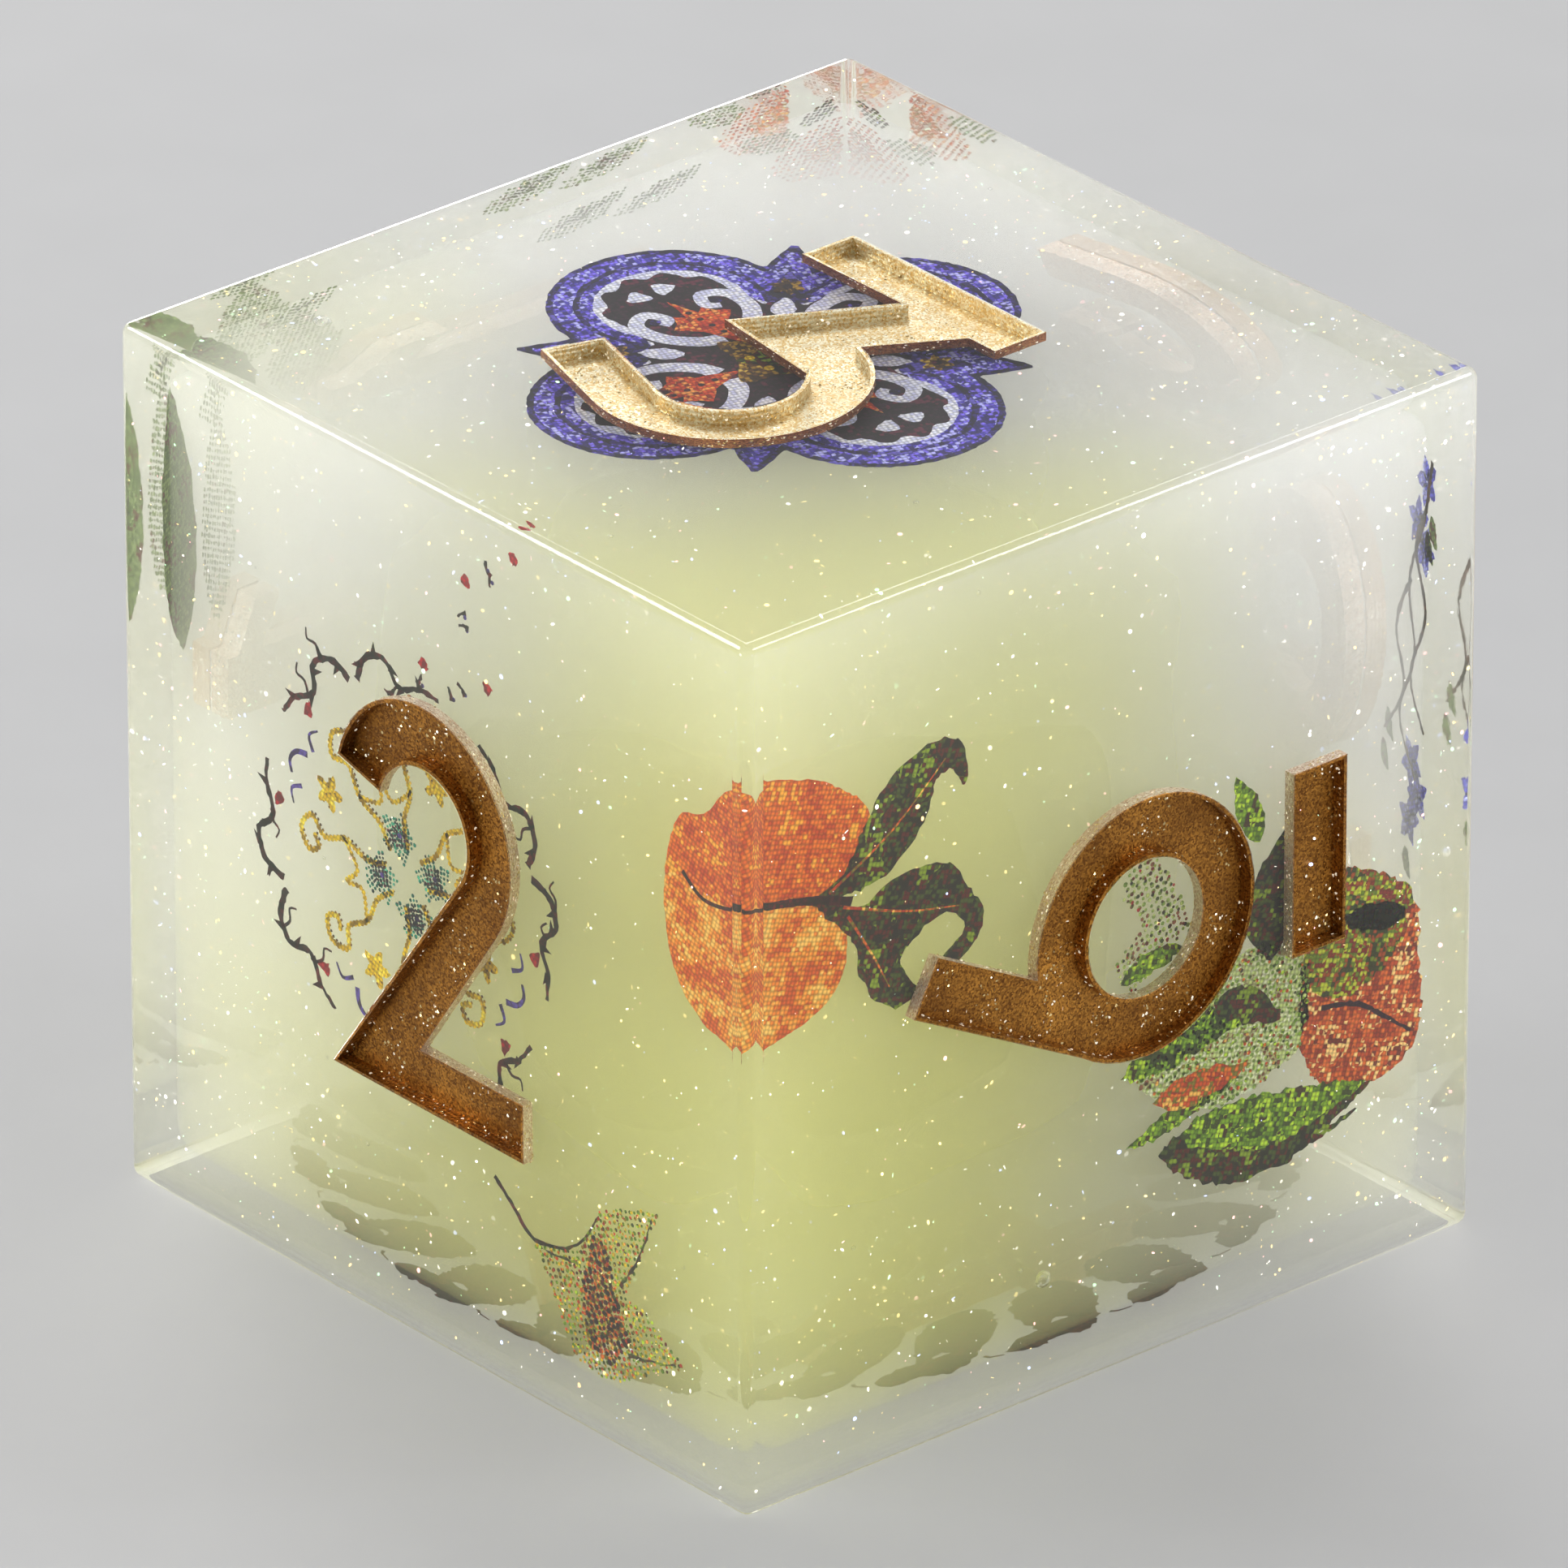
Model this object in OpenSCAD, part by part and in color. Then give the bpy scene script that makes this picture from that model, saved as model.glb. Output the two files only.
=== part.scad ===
// Six-sided die of cast resin: a tinted two-colour blank, decal films and glitter on its faces,
// a clear resin casing in two pours, and recessed numerals lined with mica paint.
// Origin at the centre of the bottom face, +Z up. The 3 is on top and the 4 underneath,
// the 2 faces -Y, the 5 faces +Y, the 6 faces +X and the 1 faces -X.

/* [Cube] */
// Length of an edge of the die
edge = 16; // [14:0.5:20]
// Radius along the twelve polished edges
edge_r = 0.2; // [0.1:0.05:0.3]
// Thickness of clear resin over the blank
casing_t = 0.7; // [0.65:0.05:0.9]

/* [Numerals] */
// Depth of the recessed numerals
recess_depth = 0.45; // [0.4:0.05:0.6]
// Width of a numeral's strokes, on a 16 mm die
stroke = 1.12; // [0.9:0.02:1.2]
// Thickness of the mica paint
paint_t = 0.05; // [0.03:0.01:0.1]
// How far the paint stops below the face
rim_gap = 0.04; // [0.02:0.01:0.1]

/* [Inclusions] */
// Thickness of a decal film
film_t = 0.04; // [0.02:0.01:0.05]
// Glitter flakes on each face of the blank
flakes_per_face = 9; // [4:1:12]
// Radius of a hexagonal glitter flake
flake_r = 0.1; // [0.06:0.01:0.15]
// Thickness of a glitter flake
flake_t = 0.03; // [0.02:0.01:0.05]

/* [Hidden] */
$fn = 96;

// The artwork is drawn in millimetres for a 16 mm die and scaled to the edge
art_scale = edge / 16;
half = edge / 2;
blank = edge - 2 * casing_t;
eps = 0.5;

// Turn from a face's own frame (x right, y up, z outward) to the die's, listed by the face's number
FACE_TURN = [undef, [90, 0, 270], [90, 0, 0], [0, 0, 90], [180, 0, 0], [90, 0, 180], [90, 0, 90]];
// Turn of each numeral within its face, listed by the face's number
DIGIT_TURN = [undef, -90, 0, -90, 0, 180, 90];

// Shared numeral sizes
digit_top = 3.75;
bowl_at = [0.1, -1.62];
bowl_r = 2.42;
tail_end = [-2.46, -2.8];
top_bar_y = 2.3;

// Yellow-green resin fills an upright round column of the blank, nearest the front edge
swirl_at = [3, -4] * art_scale;
swirl_r = 8 * art_scale;

// Spread of the glitter over a face of the blank
flake_spread = 0.46 * blank;
golden_angle = 137.508;

// ---- helpers ----

// Puts its children on a face, with z = 0 at the polished surface
module on_face(n) {
    translate([0, 0, half])
        rotate(FACE_TURN[n])
            translate([0, 0, half])
                children();
}

// The same for artwork, as a plate of thickness t whose back lies at a depth
module plate(n, depth, t) {
    on_face(n)
        translate([0, 0, -depth])
            linear_extrude(t)
                scale(art_scale)
                    children();
}

// A film lying on the blank
module film(n) {
    plate(n, casing_t, film_t)
        children();
}

// Pie slice from one angle to another, long enough to cut a circle of radius r
module slice(r, from, to) {
    steps = ceil((to - from) / 45);
    polygon(concat([[0, 0]], [
        for (i = [0 : steps])
            let (a = from + (to - from) * i / steps)
            1.5 * r * [cos(a), sin(a)]
    ]));
}

// Curved stroke whose outer edge has radius r
module arc_stroke(r, from, to) {
    intersection() {
        difference() {
            circle(r);
            circle(r - stroke);
        }
        slice(r, from, to);
    }
}

// Straight stroke of a given width from a to b, with square ends
module line_stroke(a, b, w = stroke) {
    run = b - a;
    translate(a)
        rotate(atan2(run.y, run.x))
            translate([0, -w / 2])
                square([norm(run), w]);
}

// Leaf or petal with two pointed ends: the overlap of two circles
module leaf(a, b, w) {
    run = b - a;
    h = norm(run) / 2;
    r = (h * h + w * w / 4) / w;
    translate((a + b) / 2)
        rotate(atan2(run.y, run.x))
            intersection() {
                translate([0, r - w / 2])
                    circle(r);
                translate([0, w / 2 - r])
                    circle(r);
            }
}

// ---- numerals, each upright about the centre of its face ----

module digit_1() {
    flag = [-1.5, -1.35];
    line_stroke([0, -digit_top], [0, digit_top]);
    polygon([[0, digit_top], [flag.x, digit_top + flag.y], [flag.x, digit_top + flag.y - stroke],
        [0, digit_top - stroke]]);
}

module digit_2() {
    hook_at = [-0.2, 1.55];
    hook_r = 2.26;
    slope = -34;
    foot_y = -3.63;
    foot_x = [-2.54, 2.34];
    reach = [cos(slope), sin(slope)];
    overlap = 0.1 * [-reach.y, reach.x];
    translate(hook_at)
        arc_stroke(hook_r, slope, 165);
    polygon([hook_at + hook_r * reach, hook_at + (hook_r - 0.02) * reach + overlap,
        hook_at + (hook_r - stroke) * reach + overlap, [foot_x[0], foot_y],
        [-0.85, foot_y], [-0.26, foot_y + stroke]]);
    translate([foot_x[0] + stroke * 0.77, foot_y])
        square([foot_x[1] - foot_x[0] - stroke * 0.77, stroke - 0.05]);
}

// Lower bowl shared by the 3 and the 5, from an angle round to its straight tail
module bowl(start) {
    tail_from = -110;
    translate(bowl_at)
        arc_stroke(bowl_r, tail_from, start);
    mid = bowl_at + (bowl_r - stroke / 2) * [cos(tail_from), sin(tail_from)];
    line_stroke(mid + [0.12, -0.035], tail_end);
}

module digit_3() {
    bar_x = [-2.56, 2.3];
    knee = [-1.5, -0.3];
    translate([bar_x[0], top_bar_y])
        square([bar_x[1] - bar_x[0], stroke - 0.02]);
    polygon([[bar_x[1], top_bar_y + stroke - 0.02], [0.4, top_bar_y + 0.6], [0, top_bar_y + 0.1],
        knee, [0.9, -0.6], [0.62, 0.5]]);
    bowl(80);
}

module digit_4() {
    stem_x = 0.55;
    bar_y = -1.9;
    difference() {
        polygon([[stem_x, digit_top], [-2.7, bar_y + 0.95], [-2.7, bar_y], [stem_x, bar_y],
            [stem_x, -digit_top], [stem_x + stroke, -digit_top], [stem_x + stroke, bar_y],
            [2.6, bar_y], [2.6, bar_y + stroke], [stem_x + stroke, bar_y + stroke],
            [stem_x + stroke, digit_top]]);
        polygon([[stem_x, 1.95], [-1.25, bar_y + stroke], [stem_x, bar_y + stroke]]);
    }
}

module digit_5() {
    bar_x = [-1.8, 1.9];
    stem_foot = [-1.5, -0.6];
    translate([bar_x[0], top_bar_y])
        square([bar_x[1] - bar_x[0], stroke]);
    line_stroke(stem_foot, [bar_x[0] + stroke / 2, top_bar_y + 0.5 * stroke]);
    bowl(128);
}

module digit_6() {
    at = [0.04, -0.69];
    r = 2.38;
    lean = 62;
    tail = 4.45;
    step = 0.02;
    translate(at) {
        difference() {
            circle(r);
            circle(r - stroke);
        }
        rotate(lean)
            translate([0, r - stroke + step])
                square([tail, stroke - 2 * step]);
    }
}

module underline() {
    translate([0.08, -4.52])
        square([3.4, 1.16], center = true);
}

// Outline of a face's numeral, in the face's frame
module digit(n) {
    rotate(DIGIT_TURN[n]) {
        if (n == 1)
            translate([-0.7, 0])
                digit_1();
        if (n == 2) digit_2();
        if (n == 3) digit_3();
        if (n == 4) digit_4();
        if (n == 5)
            translate([0, -0.3])
                digit_5();
        if (n == 6) digit_6();
    }
}

module underline_shape() {
    rotate(DIGIT_TURN[6])
        underline();
}

// Paint on the floor and walls of a recess with the children's outline
module lining(n) {
    difference() {
        plate(n, recess_depth, recess_depth - rim_gap)
            children();
        plate(n, recess_depth - paint_t, recess_depth)
            offset(delta = -paint_t)
                children();
    }
}

// ---- decal outlines, in the frame of their face ----

module medallion_3_art() {
    lobe_at = 2.62;
    lobe_r = 2.12;
    translate([-0.3, 0.25]) {
        square(2 * lobe_at, center = true);
        for (turn = [0 : 90 : 270])
            rotate(turn) {
                translate([lobe_at, 0])
                    circle(lobe_r);
                polygon([[1.4, 1.4], [2.75, 1.8], [3.15, 3.15], [1.8, 2.75]]);
            }
    }
}

module vine_medallion_2_art() {
    translate([-0.97, 0.27])
        circle(3.85);
}

module petal_trail_2_art() {
    spots = [[-0.2, 4.35], [0.1, 4.65], [0.65, 4.35], [1.0, 4.65], [0.55, 5.5], [0.5, 5.75],
        [0.75, 6.3], [1.2, 6.65]];
    for (i = [0 : len(spots) - 1])
        translate(spots[i])
            circle(i % 3 == 0 ? 0.12 : 0.08, $fn = 24);
}

module sprig_2_art() {
    translate([3.96, -5.67]) {
        line_stroke([-2.7, 1.3], [-1.5, 0.45], 0.1);
        polygon([[-1.7, 0.45], [-1.06, -0.56], [-0.62, -1.35], [0.3, -1.4], [0.8, -1.1],
            [2.12, -0.38], [1.2, 0.25], [0.62, 0.4], [1.5, 2.3], [0, 1.75], [-0.5, 0.85], [-0.8, 0.7]]);
    }
}

// Part of the fruit on one of the two faces that meet at an edge; side is -1 or 1 and
// overlap is how far the sheet runs past the blank's corner
module folded_disc(r, at, side, overlap) {
    limit = blank / 2 / art_scale + overlap;
    intersection() {
        translate([side * at.x, at.y])
            circle(r);
        square([2 * limit, edge / art_scale], center = true);
    }
}

module peach_left_art() {
    folded_disc(2.35, [7.85, 2.7], 1, film_t / art_scale);
}

module peach_right_art() {
    folded_disc(2.4, [7.4, 2.68], -1, 0);
    leaf([-6.3, 2.6], [-2.9, 4.8], 1.1);
    leaf([-3.4, 5.0], [-2.95, 3.8], 0.35);
    leaf([-6.2, 2.5], [-3.1, 2.3], 0.75);
    leaf([-3.4, 2.7], [-3.2, 0.55], 0.75);
    leaf([-5.9, 2.3], [-4.2, 0.3], 0.85);
}

module rose_6_art() {
    leaf([2.95, 1.9], [3.55, 0.6], 0.45);
    leaf([4.3, 0.65], [3.8, -1.75], 0.85);
    polygon([[5.45, -0.6], [5.4, -1.7], [4.4, -1.75], [3.1, -1.6], [1.9, -2.35], [0.5, -2.9],
        [1.2, -3.6], [0.6, -4.2], [1.9, -3.9], [3.2, -3.3], [4.6, -3.9], [5.6, -4.85], [6.9, -4.6],
        [7.1, -4.3], [7.0, -1.5]]);
    leaf([1.3, -4.45], [6.1, -5.0], 1.3);
    leaf([0.7, 1.2], [2.1, -1.0], 0.8);
}

module branch_5_art() {
    line_stroke([-7.1, 6.2], [-6.0, 3.2], 0.14);
    line_stroke([-6.05, 3.3], [-6.6, 0.4], 0.14);
    line_stroke([-6.3, 4.1], [-5.1, 1.6], 0.12);
    leaf([-6.9, 5.6], [-5.7, 4.4], 0.8);
    leaf([-6.9, 1.0], [-5.9, -0.9], 1.1);
    leaf([-5.4, 2.4], [-4.6, 0.7], 0.7);
}

module corner_rose_left_art() {
    folded_disc(1.6, [7.3, 4.6], 1, film_t / art_scale);
}

module corner_rose_right_art() {
    folded_disc(1.7, [7.3, 4.7], -1, 0);
    leaf([-6.1, 5.6], [-4.6, 6.6], 0.6);
}

module leaves_1_art() {
    leaf([6.9, 6.9], [6.3, 1.9], 1.2);
    leaf([6.3, 4.2], [4.3, 5.6], 1.0);
    leaf([5.6, 6.0], [3.6, 6.9], 0.7);
    leaf([-0.4, 5.3], [-2.6, 6.5], 0.8);
    leaf([-2.2, 5.2], [-4.3, 6.3], 0.7);
}

module medallion_4_art() {
    lobes = 8;
    difference() {
        union() {
            circle(5.1);
            for (i = [0 : lobes - 1])
                rotate(i * 360 / lobes)
                    translate([5.0, 0])
                        circle(1.15);
        }
        circle(3.2);
    }
}

// ---- sub-parts ----

// Square with rounded corners and a width of w
module rounded_square(w, r) {
    square([w, w - 2 * r], center = true);
    square([w - 2 * r, w], center = true);
    for (x = [-1, 1], y = [-1, 1])
        translate([x, y] * (w / 2 - r))
            circle(r);
}

// The whole outside of the die, with its edges rounded
module outside() {
    translate([0, 0, half])
        intersection_for (turn = [[0, 0, 0], [90, 0, 0], [0, 90, 0]])
            rotate(turn)
                linear_extrude(edge, center = true)
                    rounded_square(edge, edge_r);
}

module blank_block() {
    translate([0, 0, half])
        cube(blank, center = true);
}

module recess(n) {
    plate(n, recess_depth, recess_depth + eps)
        digit(n);
}

module underline_recess() {
    plate(6, recess_depth, recess_depth + eps)
        underline_shape();
}

module base_pour() {
    color([0.93, 0.95, 0.86, 0.5])
        difference() {
            intersection() {
                outside();
                translate([-edge, -edge, -eps])
                    cube([2 * edge, 2 * edge, casing_t + eps]);
            }
            recess(4);
            medallion_4();
        }
}

module over_pour() {
    color([0.93, 0.95, 0.86, 0.5])
        difference() {
            outside();
            translate([-edge, -edge, -eps])
                cube([2 * edge, 2 * edge, casing_t + eps]);
            blank_block();
            for (n = [1, 2, 3, 5, 6])
                recess(n);
            underline_recess();
            medallion_3();
            vine_medallion_2();
            petal_trail_2();
            sprig_2();
            peach_corner();
            rose_6();
            branch_5();
            corner_rose();
            leaves_1();
        }
}

module swirl_column() {
    translate([swirl_at.x, swirl_at.y, -eps])
        cylinder(r = swirl_r, h = edge + 2 * eps);
}

module yellow_core() {
    color([0.8, 0.82, 0.45])
        difference() {
            intersection() {
                blank_block();
                swirl_column();
            }
            glitter_flakes();
        }
}

module pearl_core() {
    color([0.82, 0.85, 0.88])
        difference() {
            blank_block();
            swirl_column();
            glitter_flakes();
        }
}

module numeral(n) {
    color([0.62, 0.45, 0.2])
        lining(n)
            digit(n);
}

module underline_6() {
    color([0.62, 0.45, 0.2])
        lining(6)
            underline_shape();
}

module medallion_3() {
    color([0.35, 0.3, 0.6])
        film(3)
            medallion_3_art();
}

module vine_medallion_2() {
    color([0.85, 0.8, 0.4])
        film(2)
            vine_medallion_2_art();
}

module petal_trail_2() {
    color([0.5, 0.1, 0.15])
        film(2)
            petal_trail_2_art();
}

module sprig_2() {
    color([0.55, 0.45, 0.25])
        film(2)
            sprig_2_art();
}

module peach_corner() {
    color([0.85, 0.5, 0.2]) {
        film(2)
            peach_left_art();
        film(6)
            peach_right_art();
    }
}

module rose_6() {
    color([0.75, 0.35, 0.15])
        film(6)
            rose_6_art();
}

module branch_5() {
    color([0.45, 0.35, 0.55])
        film(5)
            branch_5_art();
}

module corner_rose() {
    color([0.65, 0.2, 0.2]) {
        film(5)
            corner_rose_left_art();
        film(1)
            corner_rose_right_art();
    }
}

module leaves_1() {
    color([0.35, 0.45, 0.2])
        film(1)
            leaves_1_art();
}

module medallion_4() {
    color([0.35, 0.1, 0.1])
        film(4)
            medallion_4_art();
}

// Flakes pressed flat into the blank, on a sunflower spiral over each face
module glitter_flakes() {
    color([0.9, 0.8, 0.55])
        for (n = [1 : 6], i = [1 : flakes_per_face])
            on_face(n)
                rotate(golden_angle * (i + 3 * n))
                    translate([flake_spread * sqrt(i / flakes_per_face), 0, -casing_t - flake_t])
                        cylinder(r = flake_r, h = flake_t, $fn = 6);
}

base_pour();
over_pour();
yellow_core();
pearl_core();
numeral(1);  // numeral_1
numeral(2);  // numeral_2
numeral(3);  // numeral_3
numeral(4);  // numeral_4
numeral(5);  // numeral_5
numeral(6);  // numeral_6
underline_6();
medallion_3();
vine_medallion_2();
petal_trail_2();
sprig_2();
peach_corner();
rose_6();
branch_5();
corner_rose();
leaves_1();
medallion_4();
glitter_flakes();
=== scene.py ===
"""Looks of the cast resin die: clear resin over a milky two-colour core, printed decals,
mica-lined numerals and glitter, in the CAD model's own frame."""

import math
import random

import bmesh
import bpy
from mathutils import Matrix, Vector, noise


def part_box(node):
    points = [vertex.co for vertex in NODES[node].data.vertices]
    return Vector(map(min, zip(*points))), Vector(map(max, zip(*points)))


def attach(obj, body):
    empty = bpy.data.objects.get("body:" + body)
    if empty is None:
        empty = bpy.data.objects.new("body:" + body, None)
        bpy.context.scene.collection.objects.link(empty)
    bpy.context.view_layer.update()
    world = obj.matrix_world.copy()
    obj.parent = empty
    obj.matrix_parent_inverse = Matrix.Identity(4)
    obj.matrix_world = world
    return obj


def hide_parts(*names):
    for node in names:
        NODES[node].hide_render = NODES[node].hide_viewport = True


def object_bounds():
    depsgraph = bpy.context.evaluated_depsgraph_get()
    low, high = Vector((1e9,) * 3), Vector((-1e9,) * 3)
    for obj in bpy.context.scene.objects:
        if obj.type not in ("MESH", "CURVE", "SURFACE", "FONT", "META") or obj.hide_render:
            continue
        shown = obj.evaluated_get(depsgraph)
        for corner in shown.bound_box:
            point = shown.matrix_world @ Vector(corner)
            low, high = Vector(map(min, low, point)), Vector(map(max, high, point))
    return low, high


MM = 0.001

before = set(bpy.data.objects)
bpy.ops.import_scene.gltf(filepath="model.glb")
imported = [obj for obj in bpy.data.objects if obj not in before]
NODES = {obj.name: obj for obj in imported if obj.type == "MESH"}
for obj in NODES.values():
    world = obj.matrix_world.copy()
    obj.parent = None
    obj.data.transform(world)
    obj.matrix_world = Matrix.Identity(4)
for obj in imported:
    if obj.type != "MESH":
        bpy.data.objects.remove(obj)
cad_low, cad_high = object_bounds()
EDGE = (cad_high.x - cad_low.x) / MM
HALF = EDGE / 2
CENTRE = Vector((0, 0, HALF))
# Depths below a face, in mm: of the tinted blank and of the recessed numerals
BLANK_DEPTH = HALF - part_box("yellow_core")[1].x / MM
RECESS_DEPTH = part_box("numeral_4")[1].z / MM
# Least angle of an edge that is not shaded smooth
SHARP = math.radians(35)

# Right, up and outward directions of each face, by its number
FACES = {
    1: (Vector((0, -1, 0)), Vector((0, 0, 1)), Vector((-1, 0, 0))),
    2: (Vector((1, 0, 0)), Vector((0, 0, 1)), Vector((0, -1, 0))),
    3: (Vector((0, 1, 0)), Vector((-1, 0, 0)), Vector((0, 0, 1))),
    4: (Vector((1, 0, 0)), Vector((0, -1, 0)), Vector((0, 0, -1))),
    5: (Vector((-1, 0, 0)), Vector((0, 0, 1)), Vector((0, 1, 0))),
    6: (Vector((0, 1, 0)), Vector((0, 0, 1)), Vector((1, 0, 0))),
}


def make_camera():
    """Camera at the reference view: a long lens, three faces in sight."""
    azimuth, elevation = math.radians(49.4), math.radians(27.0)
    distance = 25.58 * EDGE * MM
    back = Vector((math.sin(azimuth) * math.cos(elevation),
                   -math.cos(azimuth) * math.cos(elevation), math.sin(elevation)))
    turn = (-back).to_track_quat("-Z", "Y")
    offset = turn @ Vector((-0.015, -0.009, 0)) * EDGE * MM
    data = bpy.data.cameras.new("camera")
    data.sensor_width = 36
    data.lens = 563.9
    data.clip_start, data.clip_end = 0.01, 50
    camera = bpy.data.objects.new("camera", data)
    camera.location = CENTRE * MM + back * distance + offset
    camera.rotation_mode = "QUATERNION"
    camera.rotation_quaternion = turn
    bpy.context.scene.collection.objects.link(camera)
    bpy.context.scene.camera = camera


make_camera()


# ---- mesh helpers ----

def on_face(n, x, y, depth=0.0):
    """Point on face n, in metres: x right and y up from its centre, depth inward, all in mm."""
    right, up, out = FACES[n]
    return (CENTRE + right * x + up * y + out * (HALF - depth)) * MM


def add_piece(name, mesh, nodes=(), materials=()):
    """Links a mesh as a piece of the die that stands for the CAD nodes."""
    piece = bpy.data.objects.new(name, mesh)
    bpy.context.scene.collection.objects.link(piece)
    for material in materials:
        mesh.materials.append(material)
    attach(piece, "root")
    if nodes:
        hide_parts(*nodes)
    return piece


def node_tree(name):
    """New material with an output and nothing else."""
    material = bpy.data.materials.new(name)
    material.use_nodes = True
    tree = material.node_tree
    tree.nodes.clear()
    return material, tree, tree.nodes.new("ShaderNodeOutputMaterial")


def put(tree, kind, inputs=None, **settings):
    """Adds a node, with its properties and its inputs; an input may be a socket or a value."""
    made = tree.nodes.new("ShaderNode" + kind)
    for key, value in settings.items():
        setattr(made, key, value)
    for key, value in (inputs or {}).items():
        if isinstance(value, bpy.types.NodeSocket):
            tree.links.new(value, made.inputs[key])
        else:
            made.inputs[key].default_value = value
    return made


def two_tone(tree, factor, low, high):
    """Colour that runs from low to high with the factor."""
    mix = put(tree, "Mix", {0: factor}, data_type="RGBA")
    mix.inputs[6].default_value = low
    mix.inputs[7].default_value = high
    return mix.outputs[2]


def srgb(*screen):
    """Linear colour from screen values of 0 to 255."""
    return tuple(((c / 255 + 0.055) / 1.055) ** 2.4 if c > 10 else c / 3295 for c in screen) + (1,)


def to_mesh(bm, name):
    """New mesh with what the bmesh holds, which is freed."""
    mesh = bpy.data.meshes.new(name)
    bm.to_mesh(mesh)
    bm.free()
    return mesh


def apply_modifiers(piece):
    """Replaces the piece's mesh by its evaluated one and clears its modifiers."""
    graph = bpy.context.evaluated_depsgraph_get()
    mesh = bpy.data.meshes.new_from_object(piece.evaluated_get(graph))
    piece.modifiers.clear()
    piece.data = mesh
    return mesh


# ---- outlines, in mm on a face ----

def ragged(points, amount, seed, step=0.09):
    """The closed outline in short steps, each point moved a little at random, as a print's edge is."""
    chance = random.Random(seed)
    made = []
    for i, a in enumerate(points):
        b = points[(i + 1) % len(points)]
        count = max(1, int(math.dist(a, b) / step))
        for k in range(count):
            t = k / count
            made.append((a[0] + (b[0] - a[0]) * t + chance.uniform(-amount, amount),
                         a[1] + (b[1] - a[1]) * t + chance.uniform(-amount, amount)))
    return made


def curve(points, steps=6, closed=False):
    """Smooth Catmull-Rom curve through the points."""
    count = len(points)
    made = []
    for i in range(count if closed else count - 1):
        if closed:
            p = [points[(i + k - 1) % count] for k in range(4)]
        else:
            p = [points[min(max(i + k - 1, 0), count - 1)] for k in range(4)]
        for k in range(steps):
            t = k / steps
            made.append(tuple(
                0.5 * (2 * p[1][c] + (p[2][c] - p[0][c]) * t
                       + (2 * p[0][c] - 5 * p[1][c] + 4 * p[2][c] - p[3][c]) * t * t
                       + (3 * p[1][c] - p[0][c] - 3 * p[2][c] + p[3][c]) * t ** 3)
                for c in (0, 1)))
    if not closed:
        made.append(tuple(points[-1]))
    return made


def blob(points, seed=0, amount=0.02):
    """Soft closed outline through the points, with a ragged edge."""
    return ragged(curve(points, 5, True), amount, seed)


def strip(points, width, tail=1.0):
    """Outline of a stroke along the points, tapering to tail times its width."""
    left, right = [], []
    last = len(points) - 1
    for i, p in enumerate(points):
        a, b = points[max(i - 1, 0)], points[min(i + 1, last)]
        run = math.dist(a, b) or 1
        half = width / 2 * (1 + (tail - 1) * i / last)
        across = (-(b[1] - a[1]) / run * half, (b[0] - a[0]) / run * half)
        left.append((p[0] + across[0], p[1] + across[1]))
        right.append((p[0] - across[0], p[1] - across[1]))
    return left + right[::-1]


def leaf(a, b, width, bend=0.0, teeth=0, seed=0, amount=0.02):
    """Leaf from its stalk a to its tip b, bent sideways and toothed along its edge."""
    run = (b[0] - a[0], b[1] - a[1])
    across = (-run[1], run[0])
    length = math.hypot(*run)
    left, right = [], []
    steps = 14
    for i in range(steps + 1):
        t = i / steps
        spread = width / 2 * math.sin(math.pi * t ** 0.8) ** 0.85 / length
        if teeth:
            spread *= 1 + 0.16 * ((t * teeth) % 1)
        sway = bend * math.sin(math.pi * t) / length
        mid = (a[0] + run[0] * t + across[0] * sway, a[1] + run[1] * t + across[1] * sway)
        left.append((mid[0] + across[0] * spread, mid[1] + across[1] * spread))
        right.append((mid[0] - across[0] * spread, mid[1] - across[1] * spread))
    return ragged(left + right[-2:0:-1], amount, seed)


def disc(x, y, r, sides=10, turn=0.0):
    return [(x + r * math.cos(turn + math.tau * i / sides), y + r * math.sin(turn + math.tau * i / sides))
            for i in range(sides)]


def inside(point, outline):
    """True if the point lies inside the outline."""
    x, y = point
    result = False
    for i, (ax, ay) in enumerate(outline):
        bx, by = outline[i - 1]
        if (ay > y) != (by > y) and x < (bx - ax) * (y - ay) / (by - ay) + ax:
            result = not result
    return result


def dots(outline, pitch, turn, size, seed, keep=1.0, sides=6):
    """Halftone dots on a turned grid inside the outline."""
    chance = random.Random(seed)
    xs, ys = [p[0] for p in outline], [p[1] for p in outline]
    mid = ((min(xs) + max(xs)) / 2, (min(ys) + max(ys)) / 2)
    reach = int(math.hypot(max(xs) - min(xs), max(ys) - min(ys)) / pitch / 2) + 1
    c, s = math.cos(turn), math.sin(turn)
    made = []
    for i in range(-reach, reach + 1):
        for j in range(-reach, reach + 1):
            x = mid[0] + pitch * (i * c - j * s) + chance.uniform(-0.1, 0.1) * pitch
            y = mid[1] + pitch * (i * s + j * c) + chance.uniform(-0.1, 0.1) * pitch
            if chance.random() < keep and inside((x, y), outline):
                made.append(disc(x, y, size * chance.uniform(0.7, 1.15), sides, chance.random()))
    return made


def turned(points, angle, scale=1.0, at=(0, 0)):
    """The points turned by an angle in degrees, scaled and moved."""
    c, s = math.cos(math.radians(angle)) * scale, math.sin(math.radians(angle)) * scale
    return [(at[0] + c * x - s * y, at[1] + s * x + c * y) for x, y in points]


def clipped(outline, limit, side):
    """The outline with every x held within the blank's corner at side * limit."""
    return [(min(x, limit) if side > 0 else max(x, -limit), y) for x, y in outline]


# ---- printed decals ----

# Pitch of the halftone screen, in mm
SCREEN = 0.085


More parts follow.
